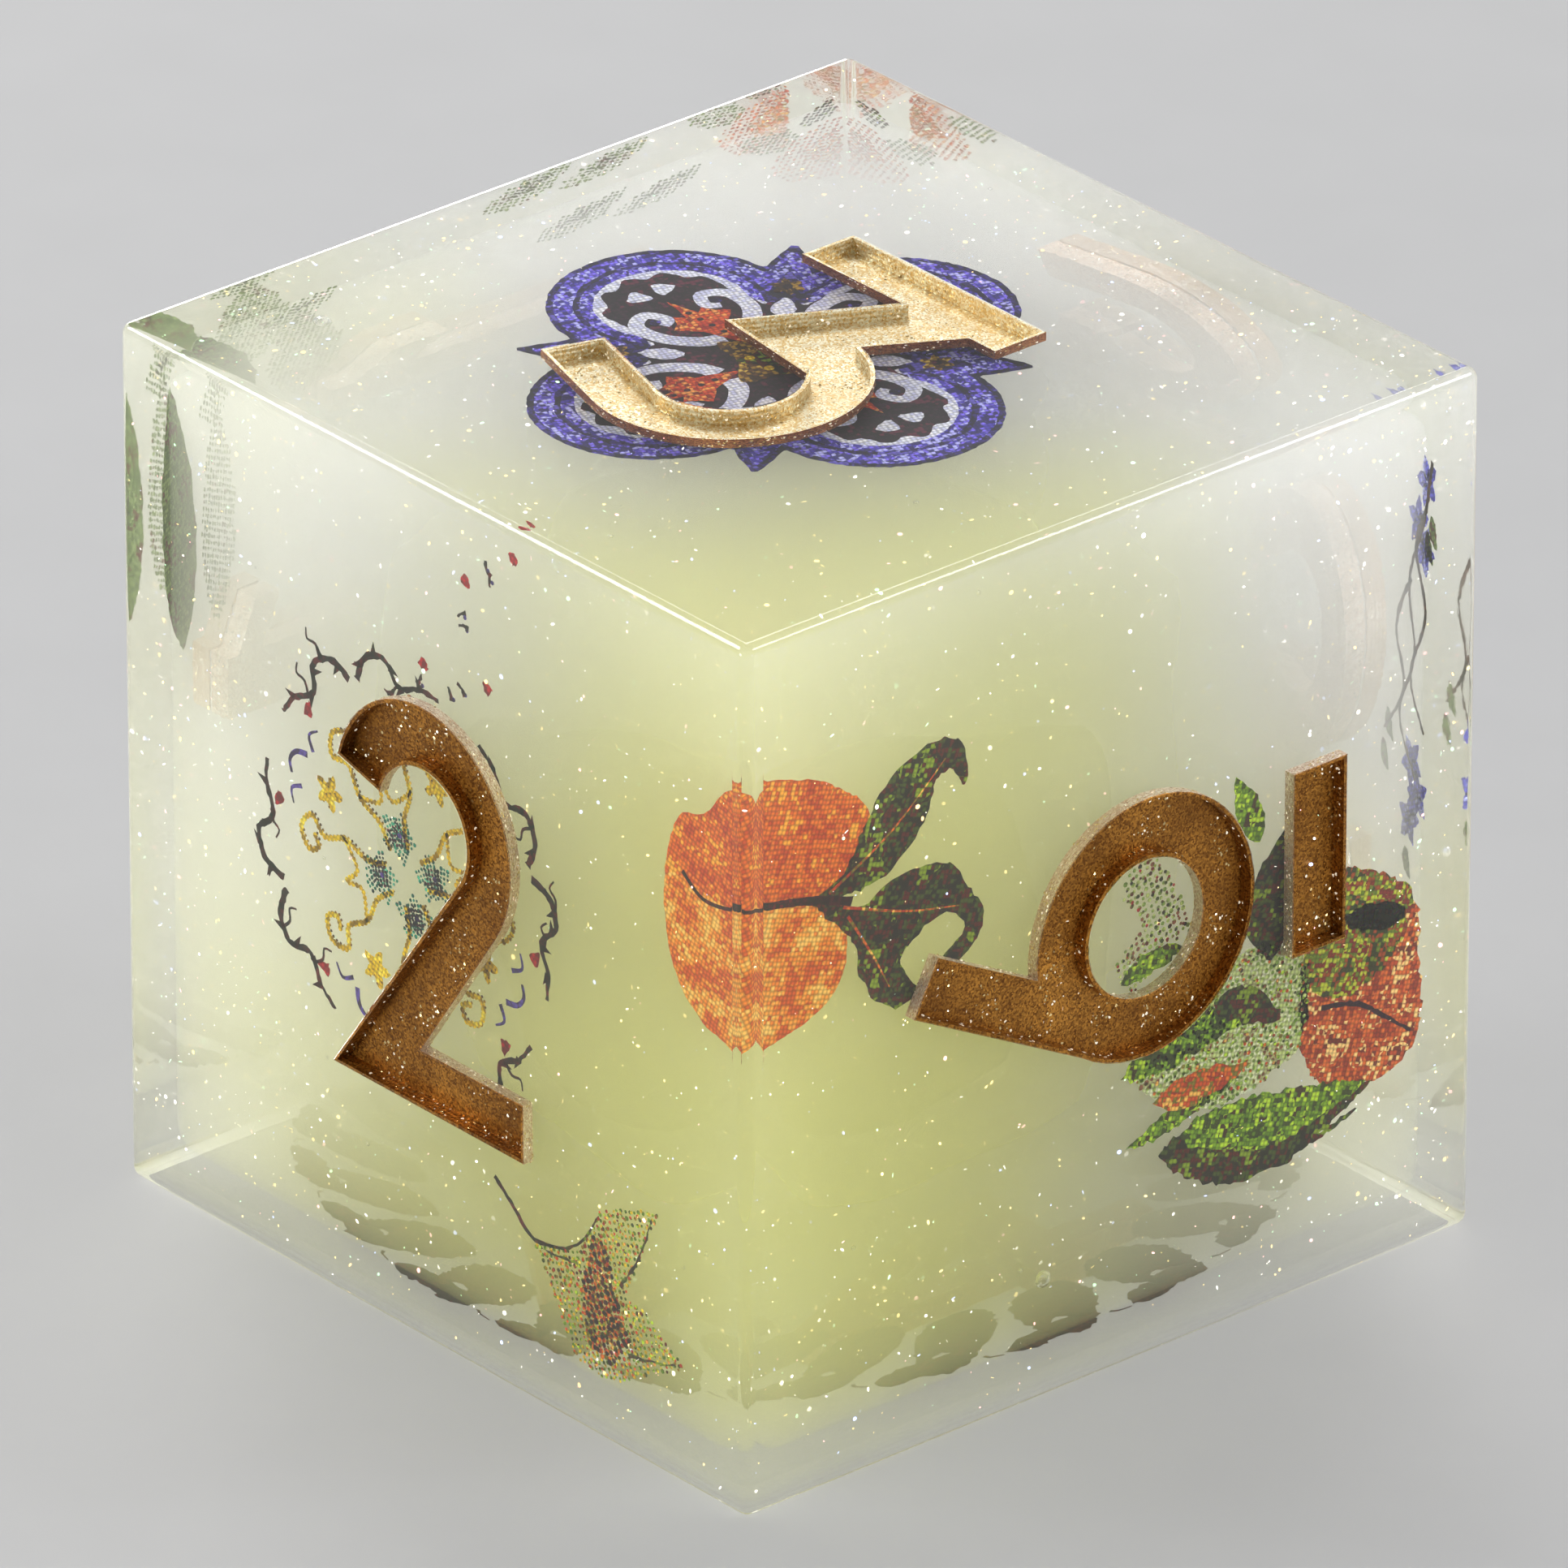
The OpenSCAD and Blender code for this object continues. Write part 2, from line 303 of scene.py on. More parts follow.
def ink(name, *shades):
    """Halftone print: a fine screen of dots, each in one of the shades, changing from place to place."""
    material, tree, out = node_tree(name)
    where = put(tree, "UVMap").outputs[0]
    grid = put(tree, "Mapping", {"Vector": where, "Rotation": (0, 0, 0.3),
                                 "Scale": (1 / SCREEN, 1 / SCREEN, 1)})
    cell = put(tree, "TexVoronoi", {"Vector": grid.outputs[0], "Scale": 1.0, "Randomness": 0.3},
               voronoi_dimensions="2D")
    chance = put(tree, "SeparateColor", {0: cell.outputs["Color"]})
    cloud = put(tree, "TexNoise", {"Vector": where, "Scale": 1.7, "Detail": 3.0})
    drift = put(tree, "Math", {0: cloud.outputs["Fac"], 1: 2.2, 2: -1.0}, operation="MULTIPLY_ADD")
    pick = put(tree, "Math", {0: chance.outputs[0], 1: 0.7, 2: drift.outputs[0]}, operation="MULTIPLY_ADD",
               use_clamp=True)
    ramp = put(tree, "ValToRGB", {"Fac": pick.outputs[0]})
    palette = ramp.color_ramp
    palette.interpolation = "CONSTANT"
    for _ in shades[2:]:
        palette.elements.new(0.5)
    for i, shade in enumerate(shades):
        palette.elements[i].position = i / len(shades)
        palette.elements[i].color = srgb(*shade)
    dot = put(tree, "MapRange", {"Value": cell.outputs["Distance"], "From Min": 0.15, "From Max": 0.6,
                                 "To Min": 1.15, "To Max": 0.55})
    shown = put(tree, "VectorMath", {0: ramp.outputs[0], 1: dot.outputs[0]},
                operation="MULTIPLY")
    paper = put(tree, "BsdfPrincipled", {"Base Color": shown.outputs[0], "Roughness": 0.55,
                                         "Specular IOR Level": 0.2})
    tree.links.new(paper.outputs[0], out.inputs["Surface"])
    return material


SHADES = {
    "navy": ((16, 8, 40), (44, 26, 110), (24, 12, 60), (96, 84, 190)),
    "violet": ((34, 20, 100), (124, 104, 240), (66, 48, 176), (186, 186, 255), (40, 30, 120)),
    "white": ((236, 238, 250), (206, 208, 236), (244, 244, 250)),
    "maroon": ((22, 4, 24), (44, 8, 36), (16, 4, 20), (92, 20, 50)),
    "red": ((160, 26, 10), (220, 84, 26), (196, 50, 14), (246, 160, 72), (130, 30, 14)),
    "gold": ((60, 34, 10), (170, 130, 24), (100, 60, 16), (226, 190, 70)),
    "ochre": ((150, 116, 0), (232, 196, 0), (214, 172, 0), (250, 226, 60)),
    "teal": ((6, 44, 50), (16, 130, 104), (10, 90, 80), (70, 190, 150)),
    "vine": ((20, 4, 8), (60, 6, 16), (18, 24, 8), (96, 14, 24)),
    "wine": ((110, 4, 22), (176, 14, 34), (140, 8, 26)),
    "purple": ((40, 20, 70), (90, 70, 160), (60, 44, 110)),
    "orange": ((190, 64, 4), (226, 112, 14), (210, 88, 8), (244, 168, 44)),
    "apricot": ((206, 84, 8), (232, 130, 24), (240, 160, 50), (248, 196, 90)),
    "dark_leaf": ((20, 18, 8), (60, 76, 12), (84, 14, 12), (30, 26, 12), (126, 150, 24)),
    "green_leaf": ((50, 62, 8), (120, 160, 16), (84, 120, 10), (180, 214, 40), (60, 30, 10)),
    "pale_leaf": ((120, 150, 60), (190, 206, 120), (150, 176, 80), (130, 70, 50)),
    "ember": ((170, 44, 8), (224, 108, 18), (120, 110, 20), (200, 70, 10), (244, 186, 80)),
    "brown": ((44, 18, 12), (90, 44, 26), (60, 28, 16)),
    "iris": ((56, 48, 170), (104, 104, 236), (80, 76, 200), (176, 180, 252)),
    "sage": ((84, 104, 50), (126, 146, 84), (100, 120, 60), (96, 50, 40)),
    "coral": ((146, 44, 12), (214, 100, 30), (184, 66, 18), (246, 204, 124), (110, 30, 14)),
    "mist": ((206, 212, 160), (186, 200, 130), (216, 220, 180), (170, 170, 110)),
    "bract": ((40, 50, 10), (150, 60, 14), (96, 120, 16), (180, 190, 40), (120, 22, 14)),
}
INKS = {name: ink(name, *shades) for name, shades in SHADES.items()}
PLATE = 0.004


class Sheet:
    """One decal: thin printed plates stacked on the faces of the blank."""

    def __init__(self):
        self.plates = []

    def add(self, face, outline, level, colour):
        self.plates.append((face, outline, level, colour))

    def add_all(self, face, outlines, level, colour):
        for outline in outlines:
            self.add(face, outline, level, colour)

    def build(self, name, nodes):
        """Makes the piece, with flat print coordinates in mm as its UV map."""
        colours = sorted({p[3] for p in self.plates})
        bm = bmesh.new()
        flat = bm.loops.layers.uv.new("print")
        for face, outline, level, colour in self.plates:
            low = BLANK_DEPTH - level * PLATE - 0.0005
            index = colours.index(colour)
            if sum(a[0] * b[1] - b[0] * a[1] for a, b in zip(outline, outline[1:] + outline[:1])) < 0:
                outline = outline[::-1]
            under = [bm.verts.new(on_face(face, x, y, low)) for x, y in outline]
            over = [bm.verts.new(on_face(face, x, y, low - PLATE)) for x, y in outline]
            count = len(outline)
            made = [(over, outline), (under[::-1], outline[::-1])]
            made += [([under[i], under[(i + 1) % count], over[(i + 1) % count], over[i]],
                      [outline[i], outline[(i + 1) % count], outline[(i + 1) % count], outline[i]])
                     for i in range(count)]
            for corners, spots in made:
                f = bm.faces.new(corners)
                f.material_index = index
                for loop, spot in zip(f.loops, spots):
                    loop[flat].uv = spot
        return add_piece(name, to_mesh(bm, name), nodes, [INKS[c] for c in colours])


def medallion(sheet, face, at):
    """Four-lobed medallion: nested bands, a scalloped ground, scrolls, palmettes and rosettes."""
    lobe_at, lobe_r, tip = 2.62, 2.1, 4.35

    def ring(inset, cusps=True, wave=0.0, amount=0.015):
        made = []
        for i in range(300):
            angle = math.tau * i / 300
            axis = round(angle / (math.pi / 2)) * math.pi / 2
            off = angle - axis
            r = lobe_r - inset
            reach = lobe_at * math.cos(off) + math.sqrt(max(r * r - (lobe_at * math.sin(off)) ** 2, 0.0))
            if cusps:
                gap = abs(abs(math.degrees(off)) - 45)
                reach = max(reach, (tip - inset * 2.2) - 0.13 * gap)
            reach += wave * math.cos(angle * 36)
            made.append((at[0] + reach * math.cos(angle), at[1] + reach * math.sin(angle)))
        return ragged(made, amount, 31)

    sheet.add(face, ring(0), 0, "navy")
    sheet.add(face, ring(0.12), 1, "violet")
    sheet.add(face, ring(0.45, wave=0.02), 2, "navy")
    sheet.add(face, ring(0.56, False), 3, "violet")
    sheet.add(face, ring(0.78, False), 4, "white")
    sheet.add(face, ring(0.95, False, 0.09), 5, "maroon")
    # scrolls and palmettes, the same in each lobe
    curl = curve([(0.15, 1.1), (0.55, 1.25), (0.95, 1.75), (1.0, 2.35), (0.62, 2.6), (0.42, 2.25),
                  (0.62, 2.1)], 5)
    palm = [(0, 0.75), (0.28, 1.5), (0.62, 1.85), (0.42, 2.0), (0.3, 2.25), (0.14, 2.1), (0, 2.75),
            (-0.14, 2.1), (-0.3, 2.25), (-0.42, 2.0), (-0.62, 1.85), (-0.28, 1.5)]
    for k in range(4):
        for side in (-1, 1):
            line = [(side * x, y) for x, y in curl]
            sheet.add(face, turned(strip(line, 0.38, 0.5), 90 * k, at=at), 6, "white")
            sheet.add(face, turned(disc(side * 0.66, 2.28, 0.1), 90 * k, at=at), 7, "navy")
            bud = blob([(side * 0.1, 3.0), (side * 0.5, 3.15), (side * 0.2, 3.4)], k)
            sheet.add(face, turned(bud, 90 * k, at=at), 6, "white")
        sheet.add(face, turned(ragged(palm, 0.015, k), 90 * k, at=at), 7, "red")
        sheet.add_all(face, [turned(disc(0, 1.3 + 0.3 * i, 0.06), 90 * k, at=at) for i in range(4)],
                      8, "maroon")
        # rosette between the lobes, and a white bud under it
        corner = turned([(1.9, 1.9)], 90 * k, at=at)[0]
        petals = [(0.24 + 0.07 * math.cos(6 * a)) for a in [math.tau * i / 36 for i in range(36)]]
        rosette = [(corner[0] + r * math.cos(math.tau * i / 36), corner[1] + r * math.sin(math.tau * i / 36))
                   for i, r in enumerate(petals)]
        sheet.add(face, rosette, 6, "gold")
        sheet.add(face, disc(corner[0], corner[1], 0.09), 7, "maroon")
        bud = turned([(1.05, 1.05), (1.45, 1.15), (1.6, 1.6), (1.15, 1.45)], 90 * k, at=at)
        sheet.add(face, blob(bud, k), 6, "white")
    star = [(1.1, 0), (0.45, 0.45), (0, 1.1), (-0.45, 0.45), (-1.1, 0), (-0.45, -0.45), (0, -1.1),
            (0.45, -0.45)]
    sheet.add(face, blob(turned(star, 20, at=at), 3), 8, "gold")
    sheet.add(face, blob(turned(star, 62, 0.6, at=at), 4), 9, "dark_leaf")
    sheet.add_all(face, [turned(disc(0.42, 0, 0.09), 72 * i, at=at) for i in range(5)], 10, "ochre")


def build_medallion_3():
    sheet = Sheet()
    medallion(sheet, 3, (-0.3, 0.25))
    return sheet.build("medallion_3_print", ["medallion_3"])


def beads(points, size, gap):
    """Small discs along a line, as a beaded print line has."""
    made, carry = [], 0.0
    for a, b in zip(points, points[1:]):
        length = math.dist(a, b)
        while carry < length:
            t = carry / length
            made.append(disc(a[0] + (b[0] - a[0]) * t, a[1] + (b[1] - a[1]) * t, size, 7))
            carry += gap
        carry -= length
    return made


def build_vine_medallion():
    """Ring of thorny vines round beaded scrolls, four florets and four gold blossoms."""
    sheet = Sheet()
    at = (-0.97, 0.27)
    scroll = curve([(0.55, 0.2), (0.95, 0.45), (1.5, 0.5), (1.95, 0.85), (2.35, 0.7), (2.5, 1.1),
                    (2.2, 1.35), (2.0, 1.15), (2.15, 1.0)], 6)
    lattice = curve([(1.55, 0.5), (1.05, 0.8), (1.2, 1.2), (0.8, 1.05), (0.5, 1.55)], 6)
    vine = curve([(2.5, 2.35), (3.0, 2.35), (3.35, 1.95), (3.15, 1.45), (3.5, 1.0), (3.65, 0.55)], 6)
    for k in range(4):
        tilt = 68 + 90 * k
        for side in (-1, 1):
            line = turned([(x, side * y) for x, y in scroll], tilt, at=at)
            sheet.add_all(2, beads(line, 0.062, 0.1), 1, "ochre")
            sheet.add_all(2, beads([(x + 0.05, y + 0.06) for x, y in line], 0.03, 0.1), 0, "gold")
            stem = turned([(x, side * y) for x, y in vine], tilt, at=at)
            sheet.add(2, ragged(strip(stem, 0.14, 0.6), 0.02, 5 * k + side), 2, "vine")
            for i in range(4, len(stem) - 3, 5):
                thorn = turned([(0, 0.08), (0.26, 0.0), (0, -0.08)], 50 * i + 40 * k, at=stem[i])
                sheet.add(2, thorn, 2, "vine")
            for i in (9, 20):
                twig = turned([(0, 0), (0.16, 0.2), (0.12, 0.42), (0.3, 0.5)], 97 * i + 80 * k * side,
                              at=stem[i])
                sheet.add(2, strip(curve(twig, 3), 0.07, 0.5), 2, "vine")
            petal = turned([(3.0, side * 1.0), (3.22, side * 0.92), (3.18, side * 1.22)], tilt, at=at)
            sheet.add(2, blob(petal, k), 2, "wine")
            hook = curve([(2.75, side * 0.4), (2.95, side * 0.62), (2.8, side * 0.85)], 4)
            hook = turned(hook, tilt, at=at)
            sheet.add(2, strip(hook, 0.09, 0.4), 2, "purple")
        sheet.add_all(2, beads(turned(lattice, tilt, at=at), 0.055, 0.1), 1, "ochre")
        moon = turned(curve([(2.85, -0.25), (3.1, -0.1), (3.18, 0.15), (3.05, 0.35)], 4), tilt, at=at)
        sheet.add(2, strip(moon, 0.12, 0.5), 2, "purple")
        flower = turned([(2.15, 0)], tilt, at=at)[0]
        blossom = [(0.27 + 0.09 * math.cos(5 * math.tau * i / 40)) for i in range(40)]
        ring = [(flower[0] + r * math.cos(math.tau * i / 40), flower[1] + r * math.sin(math.tau * i / 40))
                for i, r in enumerate(blossom)]
        sheet.add(2, ragged(ring, 0.02, k), 1, "ochre")
        sheet.add_all(2, dots(ring, 0.12, 0.4, 0.024, k), 2, "gold")
        # teal floret with a maroon heart
        tuft = turned([(0.72, 0)], tilt + 40, at=at)[0]
        for i in range(5):
            part = leaf(tuft, turned([(0.5, 0)], 72 * i + 12 * k, at=tuft)[0], 0.34, teeth=3, seed=i)
            sheet.add_all(2, dots(part, 0.085, 0.3 * i, 0.038, i), 1, "teal")
        heart = ragged(disc(tuft[0], tuft[1], 0.24, 12), 0.03, k)
        sheet.add_all(2, dots(heart, 0.08, 0.3, 0.036, k), 2, "maroon")
        sheet.add(2, disc(tuft[0] + 0.05, tuft[1] + 0.03, 0.05), 3, "purple")
    return sheet.build("vine_medallion_print", ["vine_medallion_2"])


def build_petal_trail():
    """Loose petals and twig ends blown up to the top edge."""
    sheet = Sheet()
    places = [(-1.35, 3.55), (-0.6, 4.05), (-0.38, 4.35), (0.2, 4.1), (0.5, 4.3), (1.0, 4.62),
              (0.55, 5.5), (0.5, 5.72), (0.72, 6.28), (1.2, 6.62), (1.1, 6.8), (1.68, 7.25)]
    for i, spot in enumerate(places):
        if i % 3 == 2:
            sheet.add(2, blob(turned([(0, 0), (0.22, 0.02), (0.16, 0.2), (0.02, 0.14)], 60 * i, at=spot), i),
                      0, "wine")
        else:
            bit = turned([(-0.1, -0.04), (0.02, 0.02), (0.1, 0.12)], 25 * i, at=spot)
            sheet.add(2, ragged(strip(curve(bit, 3), 0.09, 0.5), 0.015, i), 0, "vine")
            sheet.add(2, disc(spot[0] + 0.07, spot[1] - 0.06, 0.045, 7), 0, "purple")
    return sheet.build("petal_trail_print", ["petal_trail_2"])


def build_sprig():
    """Star flower printed so lightly that it is mostly separate dots."""
    sheet = Sheet()
    heart = (3.96, -5.67)
    flower = [(-1.7, 0.45), (-1.06, -0.56), (-0.62, -1.35), (0.3, -1.4), (0.8, -1.1), (2.12, -0.38),
              (1.2, 0.25), (0.62, 0.4), (1.5, 2.3), (0, 1.75), (-0.5, 0.85), (-0.8, 0.7)]
    core = [(-0.2, 1.2), (0.2, 1.1), (0.35, 0.3), (0.75, -0.4), (0.3, -1.1), (-0.3, -0.9), (-0.5, 0.1)]
    flower = turned(flower, 0, at=heart)
    core = turned(core, 0, at=heart)
    sheet.add_all(2, dots(flower, 0.12, 0.3, 0.042, 1), 0, "green_leaf")
    sheet.add_all(2, dots(flower, 0.13, 0.9, 0.036, 2, 0.8), 1, "ochre")
    sheet.add_all(2, dots(flower, 0.14, 1.3, 0.034, 3, 0.6), 2, "red")
    sheet.add_all(2, dots(core, 0.1, 0.2, 0.05, 4), 3, "ember")
    sheet.add_all(2, dots(core, 0.15, 0.7, 0.055, 5, 0.7), 4, "dark_leaf")
    sheet.add_all(2, dots(core, 0.14, 0.5, 0.05, 6, 0.7), 5, "maroon")
    for a, b in (((0.5, 0.5), (1.3, 2.05)), ((0.7, -0.7), (1.9, -0.4)), ((-0.6, 0.5), (-1.5, 0.4))):
        mid = ((a[0] + b[0]) / 2 + 0.1, (a[1] + b[1]) / 2)
        vein = curve(turned([a, mid, b], 0, at=heart), 5)
        sheet.add(2, ragged(strip(vein, 0.07, 0.3), 0.02, 9), 4, "dark_leaf")
    stem = curve(turned([(-2.72, 1.28), (-2.3, 0.95), (-1.7, 0.5), (-0.85, 0.66)], 0, at=heart), 6)
    sheet.add(2, ragged(strip(stem, 0.11, 0.6), 0.015, 7), 1, "vine")
    rim = curve(turned([(-0.9, 0.62), (-0.4, 1.05), (-0.05, 1.6)], 0, at=heart), 5)
    sheet.add(2, ragged(strip(rim, 0.07, 0.4), 0.015, 8), 2, "dark_leaf")
    return sheet.build("sprig_print", ["sprig_2"])


def build_peach():
    """Peach and leaves folded round the front vertical edge."""
    sheet = Sheet()
    limit = HALF - BLANK_DEPTH + PLATE
    left = clipped(blob([(8.3, 5.05), (7.3, 5.1), (6.6, 4.4), (5.95, 4.1), (5.6, 2.9), (5.75, 1.5),
                         (6.3, 0.75), (7.0, 0.45), (8.3, 0.5)], 1), limit, 1)
    cheek = clipped(blob([(8.3, 2.7), (7.0, 2.9), (5.75, 3.0), (5.6, 2.2), (5.9, 1.2), (6.6, 0.6),
                          (8.3, 0.5)], 2), limit, 1)
    sheet.add(2, left, 0, "orange")
    sheet.add(2, cheek, 1, "apricot")
    crease = strip(curve([(6.05, 3.15), (6.5, 2.85), (7.0, 2.85), (7.6, 3.0)], 5), 0.09, 0.7)
    sheet.add(2, clipped(crease, limit, 1), 2, "vine")
    right = clipped(blob([(-8.3, 5.0), (-6.6, 5.05), (-5.7, 4.6), (-5.05, 4.0), (-5.1, 3.1), (-5.6, 2.9),
                          (-5.55, 1.9), (-5.6, 1.2), (-6.3, 0.6), (-7.2, 0.45), (-8.3, 0.5)], 3), limit, -1)
    low = clipped(blob([(-8.3, 2.9), (-7.2, 2.9), (-6.3, 2.7), (-5.6, 2.2), (-5.6, 1.2), (-6.3, 0.6),
                        (-8.3, 0.5)], 4), limit, -1)
    sheet.add(6, right, 0, "orange")
    sheet.add(6, low, 1, "apricot")
    stalk = clipped(strip(curve([(-7.9, 3.05), (-7.2, 2.95), (-6.3, 2.75), (-5.4, 2.45)], 5), 0.13, 1.3),
                    limit, -1)
    sheet.add(6, ragged(stalk, 0.01, 5), 3, "vine")
    upper = [(-6.2, 2.7), (-5.6, 3.0), (-5.1, 3.8), (-4.6, 4.4), (-3.9, 4.75), (-3.3, 4.75), (-2.95, 4.4),
             (-3.0, 3.75), (-3.25, 4.15), (-3.6, 4.05), (-3.8, 3.5), (-4.3, 2.95), (-5.0, 2.6)]
    sheet.add(6, blob(upper, 6, 0.035), 2, "dark_leaf")
    curled = [(-6.3, 2.75), (-5.2, 2.3), (-4.4, 2.6), (-3.3, 2.45), (-3.0, 2.0), (-2.55, 1.3), (-2.75, 0.8),
              (-3.4, 0.45), (-3.45, 0.75), (-3.0, 1.15), (-3.35, 1.6), (-4.1, 1.3), (-4.35, 0.95),
              (-4.0, 0.3), (-4.6, 0.2), (-5.2, 0.9), (-5.4, 1.7)]
    sheet.add(6, blob(curled, 7, 0.035), 2, "dark_leaf")
    for a, b in (((-5.9, 2.75), (-3.4, 4.4)), ((-5.6, 2.4), (-3.1, 1.6)), ((-5.5, 2.2), (-4.6, 0.6))):
        vein = curve([a, ((a[0] + b[0]) / 2 + 0.1, (a[1] + b[1]) / 2 - 0.12), b], 5)
        sheet.add(6, strip(vein, 0.06, 0.3), 3, "ember")
    return sheet.build("peach_print", ["peach_corner"])


def build_rose():
    """Rose with its leaves, printed in coarse dots, beside the 6."""
    sheet = Sheet()
    sheet.add(6, leaf((3.5, 0.55), (2.95, 1.95), 0.5, teeth=3, seed=1), 1, "green_leaf")
    sheet.add(6, leaf((3.75, -1.75), (4.25, 0.75), 1.0, 0.2, 4, 2), 1, "dark_leaf")
    sheet.add(6, blob([(5.4, -0.6), (5.9, -0.75), (6.7, -1.25), (6.9, -1.75), (6.2, -2.0), (5.4, -1.6)], 3,
                      0.05), 1, "bract")
    petals = blob([(4.5, -1.9), (5.2, -1.5), (6.1, -1.45), (7.0, -1.7), (7.05, -2.7), (7.15, -3.5),
                   (6.95, -4.4), (6.1, -4.75), (5.2, -4.6), (4.6, -4.0), (4.4, -3.0)], 4, 0.05)
    sheet.add(6, petals, 0, "coral")
    sheet.add(6, blob([(4.5, -3.2), (5.6, -3.05), (6.6, -3.5), (7.05, -4.2), (6.2, -4.7), (5.2, -4.55),
                       (4.6, -4.0)], 5, 0.05), 1, "coral")
    sheet.add(6, blob([(4.6, -1.7), (6.0, -1.4), (6.8, -1.9), (6.4, -2.6), (5.4, -3.0), (4.7, -2.6)], 6,
                      0.05), 1, "bract")
    fold = curve([(4.9, -3.0), (5.7, -3.2), (6.4, -3.7), (6.9, -4.1)], 5)
    sheet.add(6, ragged(strip(fold, 0.12, 0.5), 0.02, 7), 2, "maroon")
    spray = blob([(0.7, -2.65), (1.6, -2.5), (2.6, -1.75), (3.5, -1.35), (4.5, -1.9), (4.6, -2.9),
                  (4.3, -3.6), (3.2, -4.0), (1.9, -3.95), (1.0, -3.3)], 8, 0.05)
    sheet.add(6, spray, 0, "mist")
    sheet.add_all(6, dots(spray, 0.12, 0.3, 0.05, 8), 1, "pale_leaf")
    sheet.add_all(6, dots(spray, 0.13, 0.8, 0.04, 9, 0.6), 2, "green_leaf")
    sheet.add_all(6, dots(spray, 0.16, 1.2, 0.04, 10, 0.4), 2, "ember")
    sheet.add(6, leaf((0.45, -2.85), (3.6, -2.5), 0.75, 0.15, 5, 11, 0.05), 2, "green_leaf")
    sheet.add(6, leaf((2.5, -2.1), (4.0, -2.9), 0.6, 0.1, 3, 12, 0.05), 3, "dark_leaf")
    sheet.add(6, leaf((0.6, -4.2), (3.2, -3.6), 0.35, 0.0, 4, 13, 0.05), 2, "green_leaf")
    sheet.add(6, leaf((1.2, -3.55), (3.3, -3.5), 0.55, 0.0, 4, 14, 0.05), 3, "ember")
    sheet.add(6, leaf((1.25, -4.5), (6.0, -4.75), 1.2, -0.45, 6, 15, 0.05), 1, "dark_leaf")
    sheet.add(6, leaf((1.7, -4.3), (5.9, -4.7), 0.95, -0.2, 6, 15, 0.05), 2, "green_leaf")
    lower = curve([(1.4, -4.5), (2.6, -4.95), (4.3, -5.45), (5.7, -5.15)], 6)
    sheet.add(6, ragged(strip(lower, 0.2, 0.4), 0.03, 16), 3, "dark_leaf")
    # the bud that shows inside the ring of the 6
    bud = blob([(0.65, 1.05), (1.1, 1.15), (1.6, 0.4), (2.0, -0.5), (1.5, -0.7), (0.75, -1.3), (0.35, -0.7),
                (0.9, -0.1), (0.5, 0.5)], 17, 0.05)
    sheet.add_all(6, dots(bud, 0.12, 0.3, 0.045, 17), 0, "pale_leaf")
    sheet.add_all(6, dots(bud, 0.15, 0.9, 0.04, 18, 0.6), 1, "dark_leaf")
    sheet.add_all(6, dots(bud, 0.2, 0.5, 0.035, 19, 0.5), 1, "wine")
    sheet.add(6, leaf((0.4, -1.1), (1.95, -0.8), 0.4, 0.1, 4, 20, 0.05), 2, "green_leaf")
    return sheet.build("rose_print", ["rose_6"])


def build_branch():
    """Flowering branch on the far face."""
    sheet = Sheet()
    stems = [[(-7.15, 6.3), (-6.8, 5.2), (-6.1, 3.9), (-6.4, 2.6), (-5.7, 1.4), (-6.5, 0.3)],
             [(-6.9, 5.4), (-6.4, 4.6), (-6.9, 3.4), (-6.2, 2.2), (-6.9, 1.2)],
             [(-6.2, 4.0), (-5.5, 3.0), (-5.9, 1.9), (-5.0, 1.0)]]
    for i, stem in enumerate(stems):
        sheet.add(5, ragged(strip(curve(stem, 5), 0.14, 0.5), 0.02, i), 1, "brown")
    blooms = [(-6.9, 5.9), (-6.5, 5.1), (-6.8, 4.6), (-6.3, 0.6), (-6.6, 0.0), (-6.2, -0.5)]
    for i, bloom in enumerate(blooms):
        for k in range(5):
            tip = turned([(0.5, 0)], 72 * k + 20 * i, at=bloom)[0]
            sheet.add(5, leaf(bloom, tip, 0.3, seed=k), 2, "iris")
    for i, (x, y) in enumerate([(-7.1, 5.3), (-6.9, 5.0), (-5.1, 1.4), (-4.9, 0.8), (-6.0, -1.0)]):
        sheet.add(5, leaf((x, y), (x - 0.3, y - 0.6), 0.3, 0.05, 3, i), 2, "sage")
    return sheet.build("branch_print", ["branch_5"])


def build_corner_rose():
    """Small rose folded round the back vertical edge, printed in open dots."""
    sheet = Sheet()
    limit = HALF - BLANK_DEPTH
    for face, side in ((5, 1), (1, -1)):
        petals = turned([(1.5, 0), (1.0, 1.1), (0, 1.5), (-1.1, 1.0), (-1.55, 0), (-1.0, -1.1), (0, -1.5),
                         (1.1, -1.0)], 10, at=(side * 7.2, 4.6))
        heart = turned([(0.8, 0), (0, 0.8), (-0.8, 0), (0, -0.8)], 10, at=(side * 7.1, 4.7))
        flower = clipped(blob(petals, 1, 0.03), limit - 0.08, side)
        core = clipped(blob(heart, 2, 0.03), limit - 0.08, side)
        sheet.add_all(face, dots(flower, 0.15, 0.3, 0.05, 1), 0, "red")
        sheet.add_all(face, dots(core, 0.12, 0.7, 0.05, 2), 1, "ember")
        wide = leaf((side * 6.2, 5.4), (side * 4.9, 6.5), 0.9, 0.1, 4, 3)
        slim = leaf((side * 6.4, 6.2), (side * 7.0, 7.1), 0.7, 0.1, 4, 3)
        sheet.add_all(face, dots(wide, 0.13, 0.4, 0.05, 3), 1, "sage")
        sheet.add_all(face, dots(slim, 0.12, 0.4, 0.05, 4), 1, "dark_leaf")
    return sheet.build("corner_rose_print", ["corner_rose"])


